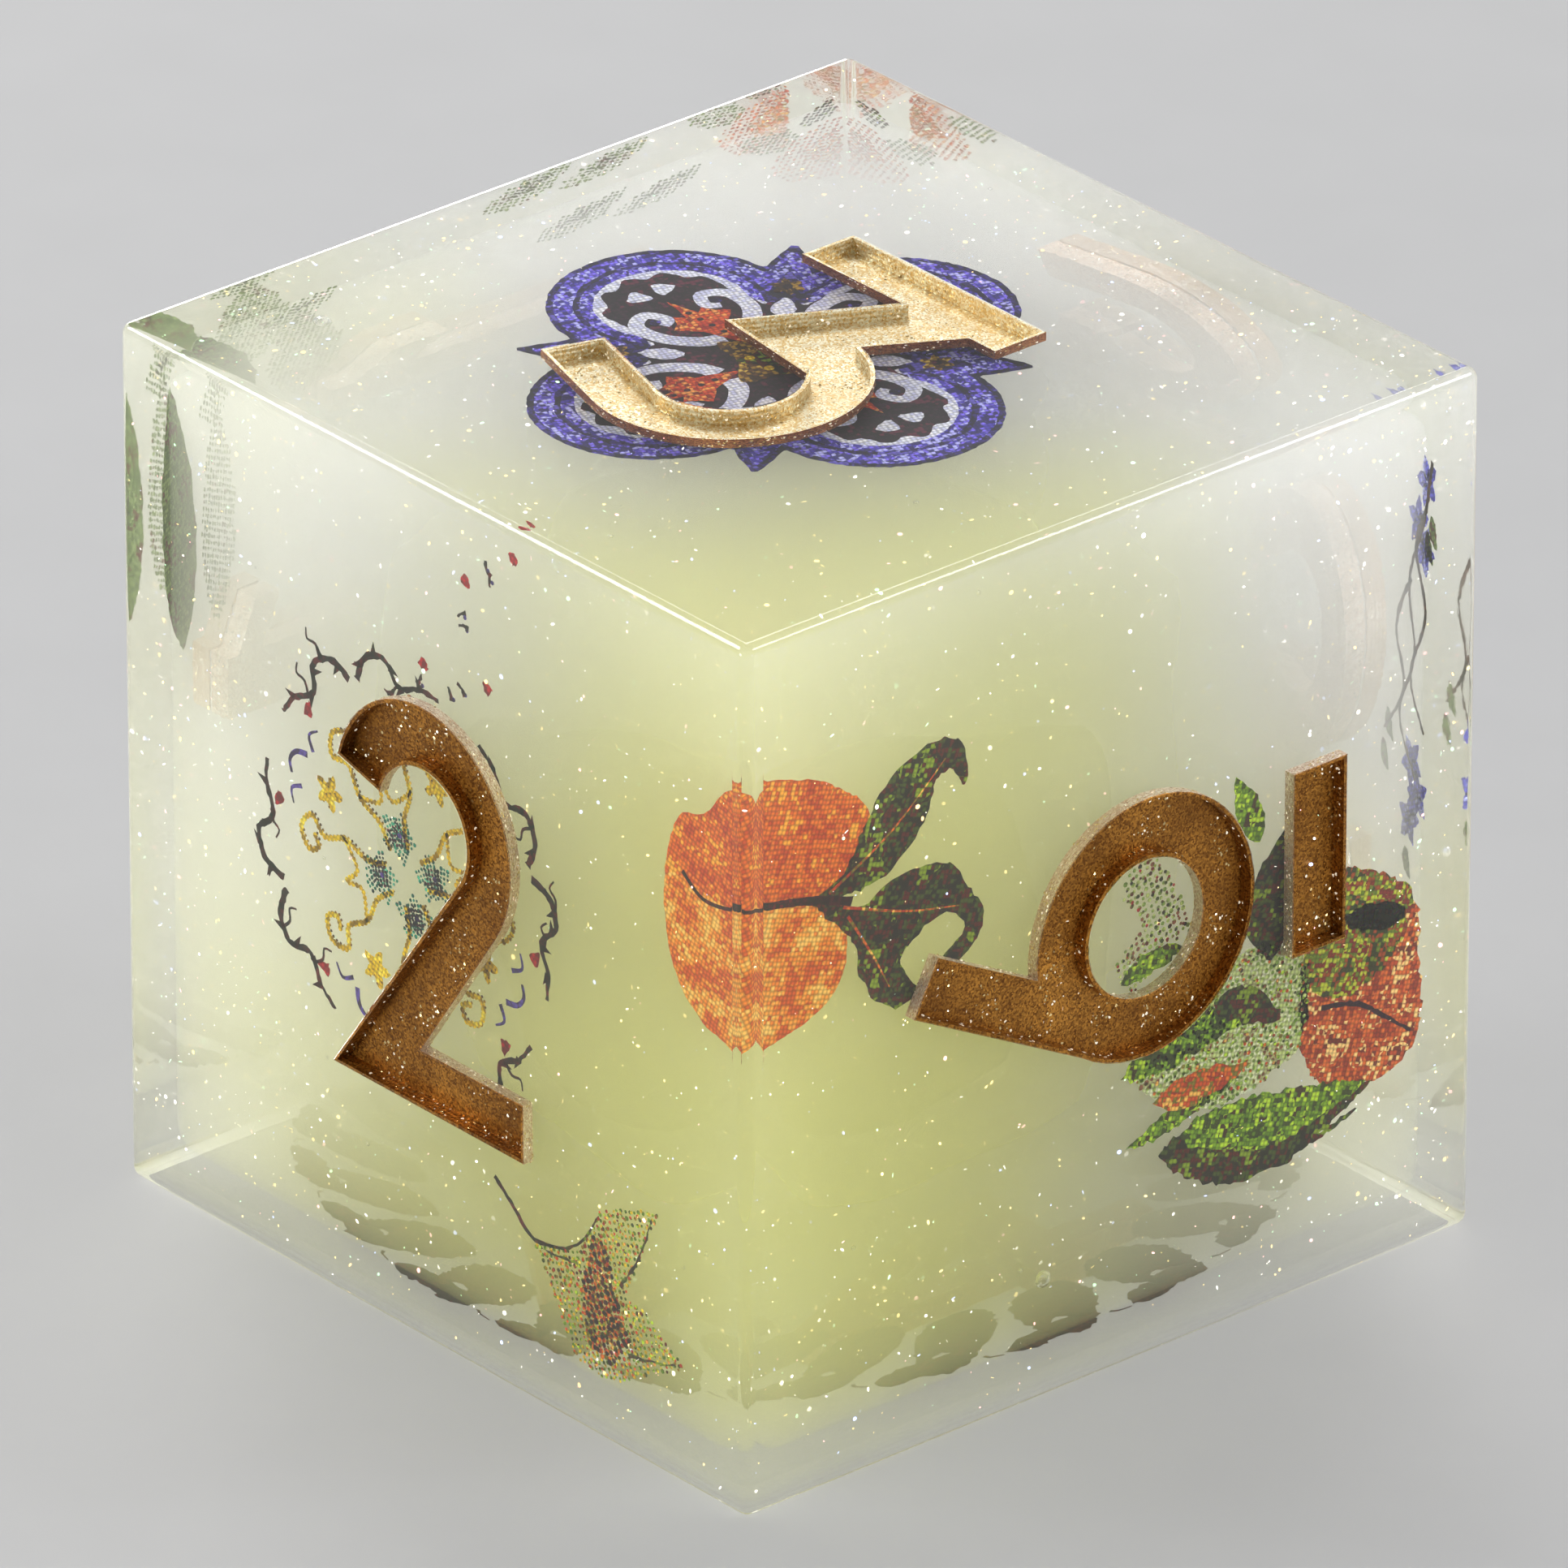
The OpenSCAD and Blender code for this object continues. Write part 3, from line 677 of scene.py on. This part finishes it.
def build_leaves():
    """Green leaves with dark red hearts on the face with the 1; all but one printed in open dots."""
    sheet = Sheet()
    sheet.add(1, leaf((6.3, 1.9), (6.8, 6.9), 1.5, 0.1, 6, 0, 0.03), 0, "sage")
    sheet.add_all(1, dots(leaf((4.7, 2.2), (4.6, 6.3), 1.5, 0.1, 5, 7, 0.04), 0.12, 0.2, 0.05, 9), 0, "sage")
    sheet.add(1, leaf((6.5, 3.0), (6.7, 5.6), 0.45, 0.0, 3, 1, 0.03), 1, "maroon")
    sheet.add(1, strip(curve([(6.35, 2.1), (6.5, 3.6), (6.75, 6.6)], 5), 0.07, 0.4), 2, "dark_leaf")
    for i, (a, b, wide) in enumerate([((5.4, 6.1), (3.8, 6.9), 0.8),
                                      ((-0.4, 5.3), (-2.6, 6.5), 0.9), ((-2.2, 5.2), (-4.2, 6.3), 0.8)]):
        sheet.add_all(1, dots(leaf(a, b, wide, 0.1, 5, i, 0.03), 0.13, 0.35, 0.05, i), 0, "sage")
        mid = ((a[0] + b[0]) / 2, (a[1] + b[1]) / 2)
        heart = leaf(((a[0] + mid[0]) / 2, (a[1] + mid[1]) / 2), ((b[0] + mid[0]) / 2, (b[1] + mid[1]) / 2),
                     wide * 0.4, seed=i)
        sheet.add_all(1, dots(heart, 0.12, 0.6, 0.045, i), 1, "maroon")
    return sheet.build("leaves_print", ["leaves_1"])


def build_medallion_4():
    """Dark wreath of petals on the bottom face, with torn scraps and small dashes round it."""
    sheet = Sheet()
    petal = [(4.0, -0.5), (5.2, -0.8), (6.5, -0.25), (5.9, 0.35), (6.6, 0.75), (5.0, 0.85), (4.1, 0.4)]
    heart = [(5.0, -0.2), (5.9, -0.35), (5.7, 0.25), (5.1, 0.3)]
    scrap = [(6.0, -1.0), (6.7, -0.95), (7.15, -0.5), (7.0, 0.0), (7.15, 0.5), (6.8, 1.0), (6.3, 0.6),
             (6.2, 0.0)]
    speck = [(6.4, -0.6), (6.9, -0.45), (6.85, 0.1), (6.5, 0.2)]
    for i in range(16):
        angle = 22.5 * i
        sheet.add(4, blob(turned(petal, angle), i, 0.05), 0, "maroon" if i % 2 else "brown")
        sheet.add(4, blob(turned(heart, angle), i, 0.05), 1, "red" if i % 3 else "ochre")
        sheet.add(4, blob(turned(scrap, angle + 6), i + 20, 0.07), 2, "maroon" if i % 3 else "brown")
        sheet.add(4, blob(turned(speck, angle + 6), i + 40, 0.05), 3, "red" if i % 2 else "ember")
        for k in (-1, 1):
            dash = turned([(6.75, k * 0.5), (6.9, k * 0.62), (6.95, k * 0.9)], angle)
            sheet.add(4, strip(dash, 0.09, 0.5), 0, "brown")
    return sheet.build("medallion_4_print", ["medallion_4"])


# ---- clear resin ----


def recess_cutters():
    """A prism for each recess, made from the CAD model's recess floors."""
    cutters = []
    for n, node in ((1, "over_pour"), (2, "over_pour"), (3, "over_pour"), (4, "base_pour"),
                    (5, "over_pour"), (6, "over_pour")):
        out = FACES[n][2]
        level = (HALF - RECESS_DEPTH) * MM
        bm = bmesh.new()
        bm.from_mesh(NODES[node].data)
        bmesh.ops.remove_doubles(bm, verts=bm.verts, dist=1e-7)
        floor = [f for f in bm.faces
                 if all(abs((v.co - CENTRE * MM).dot(out) - level) < 1e-6 for v in f.verts)]
        bmesh.ops.delete(bm, geom=[f for f in bm.faces if f not in set(floor)], context="FACES")
        made = bmesh.ops.extrude_face_region(bm, geom=bm.faces[:])
        bmesh.ops.translate(bm, vec=out * (RECESS_DEPTH + 0.5) * MM,
                            verts=[g for g in made["geom"] if isinstance(g, bmesh.types.BMVert)])
        bmesh.ops.recalc_face_normals(bm, faces=bm.faces)
        cutter = bpy.data.objects.new("cutter", to_mesh(bm, "cutter"))
        bpy.context.scene.collection.objects.link(cutter)
        cutters.append(cutter)
    return cutters


def resin_body():
    """Rounded cube of clear resin with the recessed numerals."""
    bm = bmesh.new()
    bmesh.ops.create_cube(bm, size=EDGE * MM)
    bmesh.ops.translate(bm, verts=bm.verts, vec=CENTRE * MM)
    bmesh.ops.bevel(bm, geom=bm.edges[:], offset=0.22 * MM, segments=5, profile=0.5, affect="EDGES")
    piece = add_piece("resin", to_mesh(bm, "resin"), ("base_pour", "over_pour"))
    cutters = recess_cutters()
    for cutter in cutters:
        cut = piece.modifiers.new("cut", "BOOLEAN")
        cut.operation = "DIFFERENCE"
        cut.solver = "EXACT"
        cut.object = cutter
    mesh = apply_modifiers(piece)
    for cutter in cutters:
        bpy.data.objects.remove(cutter)
    bm = bmesh.new()
    bm.from_mesh(mesh)
    bmesh.ops.remove_doubles(bm, verts=bm.verts, dist=2e-7)
    for f in bm.faces:
        f.smooth = True
    bm.to_mesh(mesh)
    bm.free()
    mesh.set_sharp_from_angle(angle=SHARP)
    weights = piece.modifiers.new("weights", "WEIGHTED_NORMAL")
    weights.keep_sharp = True
    weights.weight = 80
    apply_modifiers(piece)
    return piece


def tint(tree, where):
    """Soft swirl of the two resin colours: bluish pearl at the back, yellow-green at the front."""
    swirl = put(tree, "TexNoise", {"Vector": where, "Scale": 100.0, "Detail": 1.0})
    side = put(tree, "VectorMath", {0: where, 1: (30.0, -42.0, -16.0)}, operation="DOT_PRODUCT")
    blend = put(tree, "Math", {0: side.outputs["Value"], 1: swirl.outputs["Fac"]}, operation="ADD")
    ramp = put(tree, "MapRange", {"Value": blend.outputs[0], "From Min": 0.2, "From Max": 0.75})
    return two_tone(tree, ramp.outputs[0], (0.945, 0.945, 0.99, 1), (0.962, 0.965, 0.47, 1))


def resin_material():
    material, tree, out = node_tree("clear_resin")
    where = put(tree, "TexCoord").outputs["Object"]
    # slow waves left by hand polishing, and hair scratches
    waves = put(tree, "TexNoise", {"Vector": where, "Scale": 260.0, "Detail": 2.0})
    scratch = put(tree, "TexNoise", {"Vector": where, "Scale": 5200.0, "Detail": 3.0})
    high = put(tree, "Math", {0: waves.outputs["Fac"], 1: 6.0}, operation="MULTIPLY")
    mixed = put(tree, "Math", {0: high.outputs[0], 1: scratch.outputs["Fac"]}, operation="ADD")
    bump = put(tree, "Bump", {"Height": mixed.outputs[0], "Strength": 0.07, "Distance": 0.00002})
    glass = put(tree, "BsdfPrincipled", {"Base Color": (1, 1, 1, 1), "Roughness": 0.04, "IOR": 1.5,
                                         "Transmission Weight": 1.0, "Normal": bump.outputs[0]})
    clear = put(tree, "BsdfTransparent")
    path = put(tree, "LightPath")
    surface = put(tree, "MixShader", {0: path.outputs["Is Shadow Ray"], 1: glass.outputs[0],
                                      2: clear.outputs[0]})
    tree.links.new(surface.outputs[0], out.inputs["Surface"])
    scatter = put(tree, "VolumePrincipled", {"Color": (0.93, 0.945, 0.79, 1), "Density": 80.0,
                                             "Anisotropy": 0.1})
    tree.links.new(scatter.outputs[0], out.inputs["Volume"])
    return material


def add_bubbles(mesh):
    """Small air bubbles: spheres that face inward, part of the resin's own surface."""
    chance = random.Random(11)
    places = [(on_face(6, -0.96, -6.2, 1.3), 0.16), (on_face(3, -5.0, 6.3, 0.9), 0.16)]
    for _ in range(34):
        spot = Vector([chance.uniform(-6.9, 6.9) for _ in range(3)])
        if max(abs(c) for c in spot) > 5.0 and abs(spot.z) < 6.9:
            places.append(((spot + CENTRE) * MM, chance.uniform(0.015, 0.05)))
    bm = bmesh.new()
    bm.from_mesh(mesh)
    for spot, radius in places:
        made = bmesh.ops.create_icosphere(bm, subdivisions=3, radius=radius * MM,
                                          matrix=Matrix.Translation(spot))
        faces = {f for v in made["verts"] for f in v.link_faces}
        for f in faces:
            f.smooth = True
        bmesh.ops.reverse_faces(bm, faces=list(faces))
    bm.to_mesh(mesh)
    bm.free()


resin = resin_body()
resin.data.materials.append(resin_material())
add_bubbles(resin.data)


# ---- tinted blank ----

# How much of a milky body's skin is seen
SKIN = 0.04


def haze_material(name, density):
    """Milky resin: a faint skin where it was cast, and light scattered all through it."""
    material, tree, out = node_tree(name)
    where = put(tree, "TexCoord").outputs["Object"]
    tone = tint(tree, where)
    scatter = put(tree, "VolumePrincipled", {"Color": tone, "Density": density, "Anisotropy": 0.15})
    tree.links.new(scatter.outputs[0], out.inputs["Volume"])
    paint = put(tree, "BsdfPrincipled", {"Base Color": tone, "Roughness": 0.9, "Specular IOR Level": 0.0})
    clear = put(tree, "BsdfTransparent")
    path = put(tree, "LightPath")
    lit = put(tree, "Math", {0: SKIN, 1: path.outputs["Is Shadow Ray"]}, operation="SUBTRACT",
              use_clamp=True)
    mix = put(tree, "MixShader", {0: lit.outputs[0], 1: clear.outputs[0], 2: paint.outputs[0]})
    tree.links.new(mix.outputs[0], out.inputs["Surface"])
    return material


def haze(name, nodes, low, high, soft, material):
    """A milky body between two corners, given in mm, with its edges softened."""
    size = Vector(high) - Vector(low)
    bm = bmesh.new()
    bmesh.ops.create_cube(bm, size=1.0)
    for v in bm.verts:
        v.co = (Vector(low) + Vector([(c + 0.5) * s for c, s in zip(v.co, size)])) * MM
    bmesh.ops.bevel(bm, geom=bm.edges[:], offset=soft * MM, segments=4, profile=0.5, affect="EDGES")
    for f in bm.faces:
        f.smooth = True
    mesh = to_mesh(bm, name)
    mesh.set_sharp_from_angle(angle=SHARP)
    return add_piece(name, mesh, nodes, [material])


INNER = HALF - BLANK_DEPTH - 0.02
OUTER = HALF - 0.1
haze("milky_blank", ["pearl_core"], (-INNER, -INNER, HALF - INNER),
     (INNER, INNER, HALF + INNER), 0.5, haze_material("milky_resin", 240.0))
haze("milky_slab", [], (-OUTER, -OUTER, 0.06), (OUTER, OUTER, 0.5), 0.12,
     haze_material("milky_slab", 130.0))


def cloud_material(name, low, high, alpha):
    """Milky resin as thin veils: pale colours swirled together, mostly see-through."""
    material, tree, out = node_tree(name)
    where = put(tree, "TexCoord").outputs["Object"]
    swirl = put(tree, "TexNoise", {"Vector": where, "Scale": 230.0, "Detail": 2.0})
    blend = put(tree, "MapRange", {"Value": swirl.outputs["Fac"], "From Min": 0.35, "From Max": 0.65})
    colour = two_tone(tree, blend.outputs[0], low, high)
    body = put(tree, "BsdfPrincipled", {"Base Color": colour, "Roughness": 0.9, "Specular IOR Level": 0.0})
    clear = put(tree, "BsdfTransparent")
    veil = put(tree, "MapRange", {"Value": swirl.outputs["Fac"], "From Min": 0.3, "From Max": 0.7,
                                  "To Min": alpha * 0.5, "To Max": alpha * 1.5})
    path = put(tree, "LightPath")
    lit = put(tree, "Math", {0: veil.outputs[0], 1: path.outputs["Is Shadow Ray"]}, operation="SUBTRACT",
              use_clamp=True)
    mix = put(tree, "MixShader", {0: lit.outputs[0], 1: clear.outputs[0], 2: body.outputs[0]})
    tree.links.new(mix.outputs[0], out.inputs["Surface"])
    return material


def cloud(name, slot, node, middle, reach, seed, material):
    """Nested, gently lumpy shells, so that the tint thickens inward without an outline."""
    bm = bmesh.new()
    offset = Vector((seed * 7.3, seed * 3.1, seed * 5.7))
    for shell in range(2):
        scale = 1.0 - 0.35 * shell
        made = bmesh.ops.create_icosphere(bm, subdivisions=5, radius=1.0)
        for v in made["verts"]:
            way = v.co.normalized()
            # between a sphere and a cube
            square = way / max(abs(c) for c in way)
            lump = noise.noise(way * 1.4 + offset + Vector((shell, 0, 0)))
            spot = way.lerp(square, 0.35) * reach * scale * (1 + 0.22 * lump)
            spot += Vector(middle)
            limit = HALF - BLANK_DEPTH - 0.9
            spot = Vector([limit * math.tanh(c / limit) if abs(c) > 0.1 else c for c in spot])
            v.co = (spot + CENTRE) * MM
    for f in bm.faces:
        f.smooth = True
    return add_piece(name, to_mesh(bm, name), [node], [material])


cloud("yellow_swirl", "yellow_resin", "yellow_core", (2.4, -2.6, -1.0), 4.6, 1,
      cloud_material("yellow_resin", srgb(232, 232, 140), srgb(244, 243, 190), 0.12))
cloud("pearl_swirl", "pearl_resin", "pearl_core", (-2.4, 2.2, 1.2), 4.6, 2,
      cloud_material("pearl_resin", srgb(232, 237, 248), srgb(240, 242, 222), 0.12))


# ---- decals ----

build_medallion_3()
build_vine_medallion()
build_petal_trail()
build_sprig()
build_peach()
build_rose()
build_branch()
build_corner_rose()
build_leaves()
build_medallion_4()


# ---- mica-lined numerals ----

# Thickness of a mica or glitter plate, extra thickness of a lining all round, and depth of the
# paint that pooled on a recess floor, in mm
FLAKE = 0.004
BITE = 0.012
POOL = 0.1


def flake(bm, spot, normal, radius, chance, index):
    """One small hexagonal plate, as a closed prism."""
    turn = normal.to_track_quat("Z", "Y").to_matrix()
    spin = chance.uniform(0, math.pi)
    corners = [turn @ Vector((radius * math.cos(spin + math.pi / 3 * i),
                              radius * math.sin(spin + math.pi / 3 * i), 0)) for i in range(6)]
    lift = normal * (FLAKE * MM) / 2
    low_ring = [bm.verts.new(spot + c - lift) for c in corners]
    top_ring = [bm.verts.new(spot + c + lift) for c in corners]
    faces = [bm.faces.new(top_ring), bm.faces.new(low_ring[::-1])]
    for i in range(6):
        k = (i + 1) % 6
        faces.append(bm.faces.new([low_ring[i], low_ring[k], top_ring[k], top_ring[i]]))
    for f in faces:
        f.material_index = index


def mica_material(name, axis, dark, bright, sparkle, grit=0.6):
    """Mica paint: a brown ground full of small shining plates, over fine moulded lines."""
    material, tree, out = node_tree(name)
    where = put(tree, "TexCoord").outputs["Object"]
    grain = put(tree, "TexVoronoi", {"Vector": where, "Scale": 30000.0})
    patch = put(tree, "TexNoise", {"Vector": where, "Scale": 700.0, "Detail": 5.0})
    lines = put(tree, "TexWave", {"Vector": where, "Scale": 3600.0, "Distortion": 0.6, "Detail": 1.0},
                bands_direction=axis)
    tone = put(tree, "SeparateColor", {0: grain.outputs["Color"]})
    mixed = put(tree, "Math", {0: tone.outputs[0], 1: grit, 2: 0.25 - 0.5 * grit}, operation="MULTIPLY_ADD")
    blend = put(tree, "Math", {0: mixed.outputs[0], 1: patch.outputs["Fac"]}, operation="MULTIPLY")
    shown = put(tree, "MapRange", {"Value": blend.outputs[0], "From Min": 0.04, "From Max": 0.26})
    colour = two_tone(tree, shown.outputs[0], dark, bright)
    tilt = put(tree, "Math", {0: tone.outputs[1], 1: sparkle}, operation="MULTIPLY")
    ridge = put(tree, "Math", {0: lines.outputs["Fac"], 1: 0.35, 2: tilt.outputs[0]},
                operation="MULTIPLY_ADD")
    bump = put(tree, "Bump", {"Height": ridge.outputs[0], "Strength": 0.5, "Distance": 0.00003})
    rough = put(tree, "MapRange", {"Value": tone.outputs[2], "To Min": 0.25, "To Max": 0.6})
    paint = put(tree, "BsdfPrincipled", {"Base Color": colour, "Metallic": 0.75,
                                         "Roughness": rough.outputs[0], "Normal": bump.outputs[0]})
    tree.links.new(paint.outputs[0], out.inputs["Surface"])
    return material


def sparkle_material(name, colour, glow=0.0):
    """A bright mica or glitter plate, each shade drifting a little from place to place; with glow above 0 it
    also gives off light of its own, a painted glint.
    """
    material, tree, out = node_tree(name)
    where = put(tree, "TexCoord").outputs["Object"]
    drift = put(tree, "TexNoise", {"Vector": where, "Scale": 3000.0, "Detail": 2.0})
    shade = two_tone(tree, drift.outputs["Fac"], [0.6 * c for c in colour[:3]] + [1], colour)
    shine = put(tree, "BsdfPrincipled", {"Base Color": shade, "Metallic": 0.85, "Roughness": 0.22,
                                         "Emission Color": shade, "Emission Strength": glow})
    tree.links.new(shine.outputs[0], out.inputs["Surface"])
    return material


GOLD = sparkle_material("gold_mica", srgb(255, 226, 160))
# Mica plates that give off light of their own, strength 0.7: painted glints
GLOWING_MICA = sparkle_material("glowing_mica", srgb(255, 246, 224), 0.7)
AXIS = {1: "X", 2: "Y", 3: "Z", 4: "Z", 5: "Y", 6: "X"}
# Lit and shaded copies of one mica paint, which is painted light and shade: the first set for the inside of
# each lining, the second for its outside as seen through the resin. On the four sides the inside is painted
# dark, in shade, and the outside pale; the 3 and the 4 get a pale, lit inside and a darker outside.
FRONT_PAINTED_LIGHT = {a: mica_material("mica_front_painted_light_" + a, a, srgb(112, 66, 12), srgb(206, 144, 58), 0.6, 0.4)
         for a in "XY"}
FRONT_PAINTED_LIGHT["Z"] = mica_material("mica_front_painted_light_Z", "Z", srgb(222, 190, 126), srgb(255, 250, 224), 0.9)
BACK_PAINTED_LIGHT = {a: mica_material("mica_back_painted_light_" + a, a, srgb(206, 168, 138), srgb(252, 238, 224), 0.35) for a in "XY"}
BACK_PAINTED_LIGHT["Z"] = mica_material("mica_back_painted_light_Z", "Z", srgb(120, 60, 26), srgb(190, 122, 72), 0.35)


def lining(node, n):
    """The CAD lining, a hair thicker so that it bites into the resin, its paint pooled on the
    floor of the recess and strewn with mica plates."""
    out = FACES[n][2]
    bm = bmesh.new()
    bm.from_mesh(NODES[node].data)
    bmesh.ops.remove_doubles(bm, verts=bm.verts, dist=2e-7)
    bmesh.ops.recalc_face_normals(bm, faces=bm.faces)

    def depth(v):
        return HALF - (v.co / MM - CENTRE).dot(out)

    bm.normal_update()
    for f in bm.faces:
        f.material_index = 1 if max(depth(v) for v in f.verts) > RECESS_DEPTH - 0.01 else 0
    floor = depth(min(bm.verts, key=lambda v: abs(depth(v) - RECESS_DEPTH + 0.05)))
    moves = [(v, v.normal * v.calc_shell_factor() * BITE * MM, depth(v)) for v in bm.verts]
    for v, move, deep in moves:
        if move.length < 0.05 * MM:
            v.co += move
        if abs(deep - floor) < 0.01:
            v.co += out * POOL * MM
    chance = random.Random(node)
    faces = list(bm.faces)
    areas = [f.calc_area() for f in faces]
    spots = []
    for f in chance.choices(faces, areas, k=int(sum(areas) / MM ** 2 * 60)):
        tri = f.verts[:3]
        a, b = sorted((chance.random(), chance.random()))
        spot = tri[0].co * a + tri[1].co * (b - a) + tri[2].co * (1 - b)
        inward = HALF - (spot / MM - CENTRE).dot(out)
        bare = noise.noise(spot / MM * 1.3) + 0.4 * abs(f.normal.dot(out))
        if bare > chance.uniform(0.0, 0.5) or inward < 0.07:
            continue
        tilt = Vector([chance.gauss(0, 0.3) for _ in range(3)])
        spots.append((spot, (f.normal + tilt).normalized()))
    for spot, normal in spots:
        radius = chance.uniform(0.012, 0.034) * MM
        # A third of the plates take the glowing mica: painted glints
        flake(bm, spot, normal, radius, chance, chance.choice((2, 2, 3)))
    # Inside and outside of the lining take the lit and shaded paint copies above, painted light and shade
    return add_piece(node + "_paint", to_mesh(bm, node), [node],
                     [FRONT_PAINTED_LIGHT[AXIS[n]], BACK_PAINTED_LIGHT[AXIS[n]], GOLD, GLOWING_MICA])


for number in FACES:
    lining("numeral_%d" % number, number)
lining("underline_6", 6)


# ---- glitter ----

FLAKES = 5200


def build_glitter():
    """Tiny plates through the resin, in five shades, more of them near the faces; each gives off light of
    its own, strength 3, a painted glint.
    """
    shades = [srgb(255, 222, 150), srgb(255, 250, 240), srgb(255, 190, 190), srgb(190, 240, 200),
              srgb(190, 205, 255)]
    chance = random.Random(5)
    bm = bmesh.new()
    count = 0
    while count < FLAKES:
        spot = Vector([chance.uniform(-7.9, 7.9) for _ in range(3)])
        depth = HALF - max(abs(c) for c in spot)
        clear = all(not (abs(spot.dot(FACES[n][0])) < 3.4 and abs(spot.dot(FACES[n][1])) < 4.2
                         and HALF - spot.dot(FACES[n][2]) < RECESS_DEPTH + 0.15) for n in FACES)
        near = abs(depth - BLANK_DEPTH) > 0.08
        if depth > 0.12 and clear and near and chance.random() < 1.2 * math.exp(-depth / 1.6):
            normal = Vector([chance.gauss(0, 1) for _ in range(3)]).normalized()
            radius = 0.012 + 0.036 * chance.random() ** 4
            flake(bm, (spot + CENTRE) * MM, normal, radius * MM, chance,
                  chance.choices(range(5), (6, 5, 2, 2, 2))[0])
            count += 1
    # The glitter materials glow at strength 3: painted glints, not reflected light
    return add_piece("glitter", to_mesh(bm, "glitter"), ["glitter_flakes"],
                     [sparkle_material("glitter_%d" % i, shade, 3.0) for i, shade in enumerate(shades)])


build_glitter()


# ---- stage ----

def make_stage():
    """Pale floor that glows a little, like a light table, as translucent things are shown on."""
    material, tree, out = node_tree("floor")
    where = put(tree, "TexCoord").outputs["Object"]
    grain = put(tree, "TexNoise", {"Vector": where, "Scale": 400.0})
    shade = two_tone(tree, grain.outputs["Fac"], (0.25, 0.25, 0.252, 1), (0.28, 0.28, 0.283, 1))
    paint = put(tree, "BsdfPrincipled", {"Base Color": shade, "Roughness": 0.7,
                                         "Emission Color": (1, 1, 1, 1), "Emission Strength": 0.27})
    tree.links.new(paint.outputs[0], out.inputs["Surface"])
    mesh = bpy.data.meshes.new("floor")
    size = 2.0
    mesh.from_pydata([(-size, -size, 0), (size, -size, 0), (size, size, 0), (-size, size, 0)], [],
                     [(0, 1, 2, 3)])
    mesh.materials.append(material)
    floor = bpy.data.objects.new("floor", mesh)
    bpy.context.scene.collection.objects.link(floor)


def add_light(name, place, size, power, colour=(1, 1, 1)):
    data = bpy.data.lights.new(name, "AREA")
    data.shape = "SQUARE"
    data.size = size
    data.energy = power
    data.color = colour
    light = bpy.data.objects.new(name, data)
    light.location = place
    aim = (CENTRE * MM - Vector(place)).to_track_quat("-Z", "Y")
    light.rotation_mode = "QUATERNION"
    light.rotation_quaternion = aim
    bpy.context.scene.collection.objects.link(light)


def make_lights():
    add_light("key", (-0.26, -0.18, 0.24), 0.10, 0.40)
    add_light("low_left", (-0.05, -0.36, 0.05), 0.10, 0.42)
    add_light("low_right", (0.37, 0.05, 0.05), 0.10, 0.42)
    add_light("back_left", (-0.32, 0.16, 0.07), 0.14, 0.6, (1, 0.98, 0.96))
    add_light("back_top", (-0.20, 0.17, 0.30), 0.14, 0.32)
    add_light("back_right", (0.20, 0.25, 0.24), 0.10, 0.38, (0.94, 0.96, 1))
    world = bpy.data.worlds.new("studio")
    world.use_nodes = True
    world.node_tree.nodes["Background"].inputs[0].default_value = (0.95, 0.97, 1, 1)
    world.node_tree.nodes["Background"].inputs[1].default_value = 0.3
    bpy.context.scene.world = world


make_stage()
make_lights()

scene = bpy.context.scene
scene.view_settings.view_transform = "Standard"
scene.cycles.max_bounces = 16
scene.cycles.transmission_bounces = 12
scene.cycles.transparent_max_bounces = 32
scene.cycles.volume_bounces = 6
scene.cycles.volume_step_rate = 2.0
scene.cycles.volume_max_steps = 64
